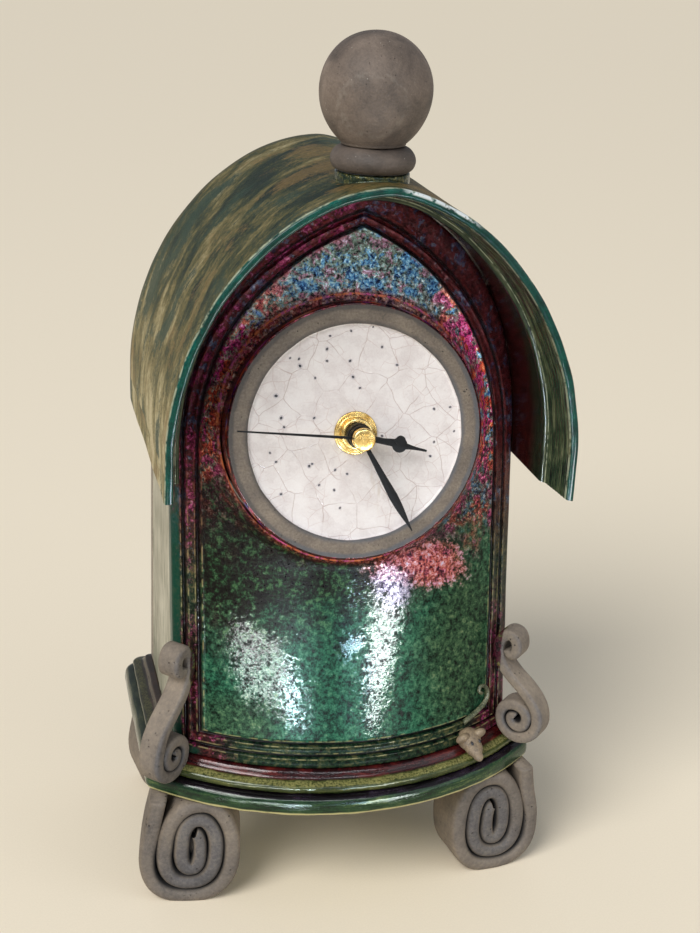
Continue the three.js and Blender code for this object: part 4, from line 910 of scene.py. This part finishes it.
def roofSlab():
    bm = bmesh.new()
    across = bm.verts.layers.float.new("across")
    front, rear, lip, cove = roof["front"], roof["rear"], roof["lip"], roof["cove"]
    deep = front + roof["coveDepth"]
    top = [(0, between(rear - 1.2, front + 3, step / 16)) for step in range(17)]
    combed = [(between(lip + 0.02, cove, t) + 0.018 * cos(2 * pi * t * roof["combs"]),
            between(front + 2.4, deep, t)) for t in [step / 42 for step in range(43)]]
    section = rounded([(0, rear, 1), *top, (0, front + 1, 0.7), (0.07, front + 0.1, 0.5), (0.2, front),
            (lip - 0.05, front + 0.2, 0.5), (lip, front + 1.4, 0.5), *combed, (0.94, deep + 0.5, 0.4),
            (1, deep + 1.7, 0.6), (1, between(front, rear, 0.4)), (1, between(front, rear, 0.7)), (1, rear, 1)],
            True, 3)
    stations = [(0, 1), (0, 0.66), (0, 0.33), *[(pi * t, 0) for t in spread(roof["steps"], lambda t: t)],
            (pi, 0.33), (pi, 0.66), (pi, 1)]
    rings = []
    for angle, low in stations:
        outer = archPoint(-roof["gap"] - roof["thickness"], angle) - Vector((0, roof["drop"] * low))
        inner = archPoint(-roof["gap"], angle) - Vector((0, (roof["drop"] - roof["bevel"]) * low))
        places = [(outer.lerp(inner, share), y) for share, y in section]
        rings.append([Vector((at.x, y, at.y)) for at, y in places])
    for ring in drawn(bm, rings):
        for vert, (share, _) in zip(ring, section):
            vert[across] = share
    wobble(bm, amount=0.3, size=13, seed=8)
    settle("archedRoofSlab", bm, [bronzeGlaze], ["roof_slab"], sharp=50)


roofSlab()

# finial: glazed seat on the ridge, collar and ball
finial = {"x": -1.2, "y": -34.45, "seat": 13.4, "seatTop": 292.6, "collar": 15.2, "collarBase": 292.9,
        "collarHeight": 8.5, "ball": 19.9, "ballBase": 301.7, "neck": 11.4, "neckHeight": 2.2, "seatFoot": 286,
        "skirt": 290.1, "steps": 96}
collarBulge = [(0.85, 0), (0.92, 0.06), (0.97, 0.18), (1, 0.36), (0.995, 0.5), (0.97, 0.64), (0.92, 0.78),
        (0.86, 0.9), (0.78, 0.98), (0.72, 1)]


def ridgeHeight(x):
    out = roof["gap"] + roof["thickness"]
    half, rise = case["halfWidth"] + out, case["rise"] + out
    return case["spring"] + rise * sqrt(1 - (abs(x) / half) ** case["power"]) - case["cant"] * x


def finialPieces():
    bm = bmesh.new()
    radius, top = finial["seat"], finial["seatTop"]
    bottom, hem, steps = finial["seatFoot"], finial["skirt"], finial["steps"]
    profile = [(0, bottom), (radius + 3.4, bottom), (radius + 3, hem, 0.3), (radius - 0.2, hem + 0.6, 1.5),
            (radius, top - 0.4, 0.4), (radius - 0.7, top, 0.5), (0, top)]
    lathe(bm, rounded(profile), steps)
    for vert in bm.verts:
        skirt = ease(292, 290, vert.co.z)
        angle = atan2(vert.co.y, vert.co.x)
        flow = 1 + 0.08 * noise.noise(Vector((3 * cos(angle), 3 * sin(angle), 2))) * skirt
        vert.co.x, vert.co.y = vert.co.x * flow + finial["x"], vert.co.y * flow + finial["y"]
        if skirt > 0:
            vert.co.z = max(vert.co.z - 291, -0.9) * 0.6 + ridgeHeight(vert.co.x) + 0.2 - 0.3 * skirt
    settle("glazedFinialSeat", bm, [greenSeat], ["finial_seat"], sharp=60)

    bm = bmesh.new()
    base, tall = finial["collarBase"], finial["collarHeight"]
    bulge = [(finial["collar"] * a, base + tall * b, 0.8) for a, b in collarBulge]
    lathe(bm, rounded([(0, base), *bulge, (0, base + tall)], steps=3), steps)
    bmesh.ops.translate(bm, vec=(finial["x"], finial["y"], 0), verts=bm.verts)
    wobble(bm, amount=0.3, size=11, seed=9)
    settle("clayFinialCollar", bm, [ballClay], ["finial_collar"], sharp=60)

    bm = bmesh.new()
    radius, base, neck = finial["ball"], finial["ballBase"], finial["neck"]
    lift = sqrt(radius ** 2 - neck ** 2)
    low = -asin(lift / radius)
    centre = base + finial["neckHeight"] + lift

    def bowl(t):
        angle = between(low, pi / 2, t)
        return max(radius * cos(angle), 0), centre + radius * sin(angle) - 1.4 * (1 - t) ** 5

    lathe(bm, [(0, base), (neck - 0.4, base), (neck, base + 0.4), *spread(56, bowl)], steps)
    bmesh.ops.translate(bm, vec=(finial["x"], finial["y"], 0), verts=bm.verts)
    wobble(bm, amount=0.35, size=17, seed=10)
    for vert in bm.verts:
        vert.co.z = max(vert.co.z, base)
    settle("clayFinialBall", bm, [ballClay], ["finial_ball"], sharp=60)


finialPieces()

# corner scrolls
scroll = {"pitch": 4.9, "strip": 4.78, "depth": 9.5, "lower": 9.5, "upper": 5.2, "stretch": 1.45, "set": 2.5,
        "turn": 45, "soft": 1.7, "columns": 5, "eye": 0.8, "near": -5.5}


def scrollPath(height):
    pitch, half = scroll["pitch"], 2.2
    tall = scroll["stretch"] * (scroll["upper"] - pitch / 4)
    lower = Vector((0, half + scroll["lower"] - pitch / 4))
    upper = Vector((scroll["upper"] - scroll["lower"] - 1, height - half - tall))

    def curl(centre, radius, leave, stretch):
        turns = (radius - 1) / pitch

        def wind(share):
            back = (1 - share) * turns
            angle, reach = leave - back * 2 * pi, radius - back * pitch
            at = centre + Vector((reach * cos(angle), stretch * reach * sin(angle)))
            return at, ease(0.8, 1.02, back), ease(0.02, 0.3, back)

        return spread(round(turns * 40), wind)

    rising = curl(lower, scroll["lower"], 0, 1)
    rolledBack = reversed(curl(upper, scroll["upper"], pi, scroll["stretch"]))
    falling = [(point, inner, outer) for point, outer, inner in rolledBack]
    start, end = rising[-1][0], falling[0][0]
    bend = Vector((0, (end.y - start.y) * 0.5))

    def arm(t):
        early, late = (start + bend) * 3 * t * (1 - t) ** 2, (end - bend) * 3 * t * t * (1 - t)
        return start * (1 - t) ** 3 + early + late + end * t ** 3, 0, 0

    return [*rising, *spread(30, arm)[1:-1], *falling]


def cornerScroll(name, node, side, height, lift, seed):
    bm = bmesh.new()
    cornerX = case["halfWidth"] - scroll["set"]
    reach = scroll["lower"] + 0.05
    lowest = plinth["step"] + 0.3 + lift
    turn = radians(scroll["turn"])
    centre = Vector((cornerX + reach * cos(turn), panelY(cornerX, lowest + scroll["lower"]) - reach * sin(turn),
            lowest))
    section = stripSection(scroll["strip"], scroll["depth"], scroll["soft"], scroll["columns"])

    def place(across, deep, up):
        return Vector((side * (centre.x + cos(turn) * across + sin(turn) * deep),
                centre.y - sin(turn) * across + cos(turn) * deep, centre.z + up))

    rolled(bm, scrollPath(height), section, scroll["eye"], scroll["near"], place)
    wobble(bm, amount=0.22, size=9, seed=seed)
    settle(name, bm, [scrollClay], [node])


cornerScroll("cornerScrollLeft", "left_scroll", side=-1, height=55.5, lift=0, seed=11)
cornerScroll("cornerScrollRight", "right_scroll", side=1, height=49, lift=3.6, seed=12)


# dial drum, turned about the dial's own axis
def dialDrum():
    bm = bmesh.new()
    radius, ring, face, sink, depth = dial["radius"], dial["ring"], dial["face"], -dial["sink"], -dial["depth"]
    bore, hollow, inside = dial["bore"], dial["hollow"], sink - dial["floor"]
    flat = spread(14, lambda t: (between(bore + 0.3, face - 2, t), sink))
    profile = [(bore, inside), (bore, sink), *flat, (face, sink, 0.9), (face, 0, 0.7),
            (between(face, ring, 0.35), 0.05), (between(face, ring, 0.7), 0), (ring, -0.1), (radius, -0.2, 1.9),
            (radius, -8), (radius, -16), (radius, depth, 0.5), (hollow, depth, 0.5), (hollow, inside, 0.5),
            (bore, inside)]
    lathe(bm, rounded(profile, steps=6), dial["steps"])
    for vert in bm.verts:
        reach = hypot(vert.co.x, vert.co.y)
        if vert.co.z > sink - 1 and reach > 12:
            amount = between(0.04, 0.16, ease(38, 42, reach))
            vert.co.z += noise.noise(vert.co / 9) * amount * ease(12, 20, reach)
        if 39 < reach < 42:
            vert.co.xy *= 1 + noise.noise(vert.co / 7 + Vector((3, 0, 0))) * 0.006
    for item in bm.faces:
        at = item.calc_center_median()
        reach = hypot(at.x, at.y)
        onRing, onFace = at.z > -0.6 and face - 0.4 < reach < ring + 0.6, reach < face + 1 and at.z > sink - 2
        item.material_index = 0 if onRing else 1 if onFace else 2
        if at.z < inside + 1 and reach < hollow + 0.5 or at.z < depth + 0.6:  # bare behind
            item.material_index = 3
    settle("dialDrum", bm, [bareRing, crackle, drumEdge, rearClay], ["dial_plate"], sharp=60,
            place=dialFrame)


dialDrum()

# pinholes burnt through the white glaze, each in a faint halo: place and size of each
pinholes = [(-9.9, 36.4, 0.4), (-11, 31.6, 0.5), (-11, 27.2, 0.45), (-2.3, 27, 0.5), (-1.1, 21, 0.55),
        (1.6, 16.8, 0.4), (9.8, 31.9, 0.45), (15.7, 25, 0.45), (-21.5, 28.2, 0.45), (-21.1, 25.6, 0.6),
        (-24.8, 28.6, 0.35), (-15.4, 21, 0.4), (-30, 14.8, 0.65), (-28.1, 6.5, 0.6), (-27, 3.1, 0.45),
        (-15.7, 6.1, 0.45), (30.4, 8, 0.45), (36.7, 8.5, 0.4), (30.7, -4.7, 0.4), (29.3, -10.1, 0.45),
        (38.5, -0.8, 0.35), (-32.3, -6.4, 0.4), (-30, -9.9, 0.45), (-17.5, -12, 0.55), (-16.4, -11.2, 0.4),
        (-7.6, -13.9, 0.45), (-3, -15.6, 0.45), (-13.7, -19.4, 0.4), (-7.9, -21.6, 0.45), (-28.1, -22.2, 0.5),
        (-5.6, -28.6, 0.4), (10.3, -1.6, 0.4), (6.3, 39.4, 0.3), (-2, 38.1, 0.4)]


def faceSpots(name, finish, scale, lift):
    bm = bmesh.new()
    for at, (x, y, radius) in enumerate(pinholes):
        made = bmesh.ops.create_uvsphere(bm, u_segments=14, v_segments=6, radius=radius * scale)["verts"]
        bmesh.ops.scale(bm, vec=(1, 0.8, 0.14 / scale), verts=made)
        bmesh.ops.rotate(bm, cent=(0, 0, 0), matrix=Matrix.Rotation(at * 1.3, 3, "Z"), verts=made)
        bmesh.ops.translate(bm, vec=(x, y, lift - dial["sink"]), verts=made)
    settle(name, bm, [finish], None, place=dialFrame)


faceSpots("pinholeHalos", halo, scale=1.9, lift=0.02)
faceSpots("facePinholes", pinhole, scale=1.15, lift=0.06)

# brass washer, nut and cap, black hands
hands = {"hourHub": 4.7, "minuteHub": 4.4, "hour": 26.8, "lobeAt": 16, "lobe": 2.9, "arm": 1.15, "minute": 41.5,
        "leafAt": 26, "leaf": 1.7, "second": 46.5, "tail": 14.5, "weight": 1.9, "hourTurn": -104.4,
        "minuteTurn": -151.2, "secondTurn": -275.4}


def turnedFitting(name, nodes, profile, finish, body="clock_case", steps=72, sharp=35):
    bm = bmesh.new()
    lathe(bm, rounded(profile, steps=3), steps)
    settle(name, bm, [finish], nodes, body, sharp, dialFrame)


turnedFitting("steppedBrassWasher", ["brass_washer"], [(4.3, -1.7), (8.2, -1.7), (8.2, -1.1, 0.25),
        (7.8, -0.9, 0.2), (6.9, -0.92, 0.15), (6.7, -0.72, 0.1), (4.3, -0.72), (4.3, -1.7)], brass)
turnedFitting("roundBrassNut", ["brass_nut"], [(4.3, -0.6), (6.1, -0.6, 0.2), (6.1, 1.4, 0.4), (5.5, 1.8, 0.3),
        (4.3, 1.8), (4.3, -0.6)], brass)
turnedFitting("domedBrassCap", ["hand_cap"], [(0, 9.8), (4.05, 9.8), (4.25, 10.1, 0.2), (4.25, 12.1, 0.3),
        (3.9, 12.6, 0.5), (2.2, 12.95, 0.8), (0, 13)], brass, "seconds_arbor")


def blade(bm, outline, low, high, ridge, turn):  # flat hand with a low ridge down its middle
    base = bm.faces.new([bm.verts.new((x, y, low)) for x, y in outline])
    bmesh.ops.translate(bm, vec=(0, 0, high - low), verts=pulled(bm, [base]))
    bmesh.ops.bisect_plane(bm, geom=bm.verts[:] + bm.edges[:] + bm.faces[:], plane_co=(0, 0, 0),
            plane_no=(1, 0, 0), dist=0.001)
    tip = max(y for _, y in outline) - 0.5
    for vert in bm.verts:
        if abs(vert.co.x) < 0.01 and vert.co.z > (low + high) / 2 and vert.co.y < tip:
            vert.co.z += ridge
    bmesh.ops.rotate(bm, cent=(0, 0, 0), matrix=Matrix.Rotation(radians(turn), 3, "Z"), verts=bm.verts)


def hand(name, node, body, outline, low, high, bore, ridge, turn, hub):
    bm = bmesh.new()
    middle = (low + high) / 2
    blade(bm, outline, middle - 0.3, middle + 0.3, ridge, turn)
    lathe(bm, rounded([(bore, low), (hub, low, 0.2), (hub, high, 0.3), (bore, high), (bore, low)], steps=3), 48)
    settle(name, bm, [enamel], [node], body, 30, dialFrame)


def hourOutline():
    arm, lobe, at = hands["arm"], hands["lobe"], hands["lobeAt"]
    end = pi / 2 - asin(arm / lobe)
    bulge = [(lobe * cos(a), at + lobe * sin(a)) for a in spread(14, lambda t: between(-end, end, t))]
    spear = [(between(arm, 0.45, 1 - (1 - t) ** 2), between(bulge[-1][1], hands["hour"] - 1, t))
            for t in (0.15, 0.3, 0.5, 0.75, 1)]
    right = [(arm, 2.9), *bulge, *spear, (0.35, hands["hour"])]
    return [*right, *[(-x, y) for x, y in reversed(right)]]


def leafOutline():
    right = [(0.7, 2.6), (0.95, 10), (1.35, 19), (hands["leaf"], hands["leafAt"]), (1.45, 31), (0.95, 35.5),
            (0.45, 39), (0.2, hands["minute"])]
    return [*right, *[(-x, y) for x, y in reversed(right)]]


def needleOutline():
    weight = hands["weight"]
    angles = spread(12, lambda t: between(0.3, pi, t))
    disc = [(weight * sin(a), weight * cos(a) - hands["tail"]) for a in angles]
    right = [*reversed(disc), (0.55, 0), (0.25, hands["second"])]
    return [*right, *[(-x, y) for x, y in reversed(right[1:])]]


hand("blackHourHand", "hour_hand", "hour_arbor", hourOutline(), low=2.7, high=5.7, bore=2.76, ridge=0.25,
        turn=hands["hourTurn"], hub=hands["hourHub"])
hand("blackMinuteHand", "minute_hand", "minute_arbor", leafOutline(), low=6, high=8.6, bore=1.89, ridge=0.35,
        turn=hands["minuteTurn"], hub=hands["minuteHub"])
hand("blackSecondsHand", "seconds_hand", "seconds_arbor", needleOutline(), low=8.9, high=9.5, bore=1.07,
        ridge=0, turn=hands["secondTurn"], hub=2.2)

# clay mouse peeping over the step, with its tail on the slab
mouse = {"place": (49, -42.4, 64.1), "nod": 33, "turn": 21, "tailX": 46, "tailZ": 72.1}
mousePlace = (Matrix.Translation(mouse["place"]) @ Matrix.Rotation(radians(mouse["turn"]), 4, "Z")
        @ Matrix.Rotation(radians(mouse["nod"]), 4, "X"))


def clayMouse():
    bm = bmesh.new()
    shapes = [(4.7, (1.05, 1.1, 0.9), (0, -1, 0)), (3.8, (1, 1.2, 0.85), (0, -4.6, 0)),
            (2.3, (0.95, 1.3, 0.85), (0, -8.4, -0.3))]
    shapes += [(3.1, (1, 0.55, 0.95), (side * 4.2, -0.8, 2.3)) for side in (1, -1)]
    for radius, stretch, at in shapes:
        made = bmesh.ops.create_icosphere(bm, subdivisions=3, radius=radius)["verts"]
        shaped(bm, made, stretch, at)
    piece = settle("clayMouse", bm, [mouseClay], ["mouse"], place=mousePlace)
    melt = piece.modifiers.new("meltedClay", "REMESH")
    melt.mode, melt.voxel_size, melt.use_smooth_shade = "VOXEL", 0.3 * mm, True
    soft = piece.modifiers.new("thumbedClay", "SMOOTH")
    soft.factor, soft.iterations = 0.5, 3

    bm = bmesh.new()
    for side in (1, -1):
        made = bmesh.ops.create_uvsphere(bm, u_segments=12, v_segments=8, radius=0.95)["verts"]
        shaped(bm, made, (0.6, 1, 0.5), (side * 1.9, -4.2, 3))
    settle("mouseEyes", bm, [pinhole], None, place=mousePlace)


def mouseTail():
    bm = bmesh.new()
    flat = [(0.5, -1.2), (3.8, 0), (7, 1.2), (10, 2.6), (12, 4.4), (12.6, 7), (11.2, 10), (8.8, 11.2), (8, 9.4),
            (9.8, 7.6)]
    knots = [Vector((mouse["tailX"] + a, mouse["tailZ"] + b)) for a, b in flat]
    path = []
    for at in range(len(knots) - 1):
        a, b, c, d = [knots[min(max(at + k, 0), len(knots) - 1)] for k in (-1, 0, 1, 2)]
        for t in [step / 10 for step in range(10)]:
            bend, twist = a - 2.5 * b + 2 * c - 0.5 * d, -0.5 * a + 1.5 * b - 1.5 * c + 0.5 * d
            path.append(b + (c - a) * 0.5 * t + bend * t * t + twist * t ** 3)
    rings = []
    for at, point in enumerate(path):
        along = heading(path, at)
        radius = between(1.2, 0.7, at / len(path))
        tilt = point.x / case["bow"]
        middle = Vector((point.x + 0.9 * tilt, panelY(point.x, point.y) - 0.9 * sqrt(1 - tilt * tilt), point.y))
        turns = [2 * pi * k / 14 for k in range(14)]
        rings.append([middle + Vector((along.y * cos(a), sin(a), -along.x * cos(a))) * radius for a in turns])
    drawn(bm, rings)
    settle("mouseTail", bm, [tailFinish], ["mouse_tail"])


clayMouse()
mouseTail()

# finishes on the pieces that are shown as they are
print("fittings")
shown = {"back_panel": rearClay, "threaded_bush": brass, "seconds_shaft": steel, "rubber_washer": rubber,
        "movement_shell": plastic, "movement_cover": plastic, "motor_unit": plastic, "hour_wheel": nylon,
        "minute_pinion": nylon, "transfer_wheel": nylon, "setting_knob": nylon, "battery": wrapper,
        "contact_plus": steel, "contact_minus": steel}
for node, finish in shown.items():
    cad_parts[node].data.materials.clear()
    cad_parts[node].data.materials.append(finish)

# studio: pale floor, soft light from the upper left and front
print("studio")
bm = bmesh.new()
bmesh.ops.create_grid(bm, x_segments=4, y_segments=4, size=20)
floorMesh = bpy.data.meshes.new("studioFloor")
bm.to_mesh(floorMesh)
bm.free()
floorCloth = evenFinish("paleFloorCloth", (0.8, 3), (0.3, 242, 230, 208), (0.7, 246, 234, 212), rough=0.9,
        shine=0)
floorMesh.materials.append(floorCloth)
floor = added("studioFloor", floorMesh)

world = bpy.data.worlds.new("studioWorld")
world.use_nodes = True
worldTree = world.node_tree
sky = worldTree.nodes["Background"]
sky.inputs["Color"].default_value = (0.88, 0.93, 1, 1)
sky.inputs["Strength"].default_value = 0.4
backdrop, seen, blend = [worldTree.nodes.new("ShaderNode" + kind)
        for kind in ("Background", "LightPath", "MixShader")]
backdrop.inputs["Color"].default_value = tint(224, 214, 192)
for at, source in enumerate((seen.outputs["Is Camera Ray"], sky.outputs[0], backdrop.outputs[0])):
    worldTree.links.new(source, blend.inputs[at])
worldTree.links.new(blend.outputs[0], worldTree.nodes["World Output"].inputs["Surface"])
scene.world = world


def softLight(name, at, target, wide, tall, power, colour):
    lamp = bpy.data.lights.new(name, "AREA")
    lamp.shape, lamp.size, lamp.size_y, lamp.energy, lamp.color = "RECTANGLE", wide, tall, power, colour
    holder = added(name, lamp)
    holder.location = at
    holder.rotation_euler = (Vector(target) - Vector(at)).to_track_quat("-Z", "Y").to_euler()
    return holder


sun = bpy.data.lights.new("daylight", "SUN")
sun.energy, sun.angle, sun.color = 1.9, radians(32), (1, 0.98, 0.95)
daylight = added("daylight", sun)
daylight.rotation_euler = Vector((0.62, 0.55, -0.78)).to_track_quat("-Z", "Y").to_euler()
window = softLight("windowLight", (-1.1, -0.9, 1.25), (0, 0, 0.16), wide=0.9, tall=1.1, power=6,
        colour=(1, 0.98, 0.95))
fill = softLight("fillLight", (1.3, -1.1, 0.9), (0, 0, 0.15), wide=1.2, tall=1.2, power=4,
        colour=(0.92, 0.96, 1))


# reflectors that only show as gloss on the glaze
def glossCard(name, at, target, wide, tall, turn, power, colour):
    card = softLight(name, at, target, wide, tall, power, colour)
    card.rotation_euler = (Matrix.Rotation(radians(turn), 3, "Y") @ card.rotation_euler.to_matrix()).to_euler()
    card.visible_diffuse = card.visible_camera = False


lowCards = [("Left", -0.21, 0.022, 0.22, 0.024, -8, 0.5, (0.95, 0.98, 1)),
        ("Streak", -0.102, 0.026, 0.06, 0.01, 35, 0.6, (0.7, 0.85, 1)),
        ("Wedge", 0.062, 0.05, 0.05, 0.022, 20, 0.2, (0.5, 0.7, 1)),
        ("Right", 0.142, 0.042, 0.14, 0.036, -30, 0.8, (0.95, 0.97, 1))]
for name, x, z, *card in lowCards:  # each has its place, size, turn, power and colour
    glossCard("lowCard" + name, (x, -0.35, z), (x, 0, z), *card)
glossCard("horizonCard", (0.3, -0.9, 0.3), (0, 0, 0.25), wide=1.7, tall=0.02, turn=0, power=0.9,
        colour=(1, 0.98, 0.95))
glossCard("skyStrip", (-0.3, -0.9, 1.1), (0, 0, 0.15), wide=1.9, tall=0.12, turn=0, power=9,
        colour=(0.92, 0.96, 1))

# camera at the photo's view
lens = bpy.data.cameras.new("photoCamera")
lens.sensor_fit, lens.sensor_width, lens.lens = "AUTO", 36, 57.88
camera = added("photoCamera", lens)
azimuth, elevation, roll = radians(-14.459), radians(20.698), radians(2.78)
back = Vector((sin(azimuth) * cos(elevation), -cos(azimuth) * cos(elevation), sin(elevation)))
right = Vector((cos(azimuth), sin(azimuth), 0))
upward = back.cross(right)
rolledRight = right * cos(roll) + upward * sin(roll)
rolledUp = upward * cos(roll) - right * sin(roll)
turned = Matrix((rolledRight, rolledUp, back)).transposed().to_4x4()
camera.matrix_world = Matrix.Translation((-0.13603, -0.54644, 0.38121)) @ turned
scene.camera = camera
scene.view_settings.view_transform = "Standard"
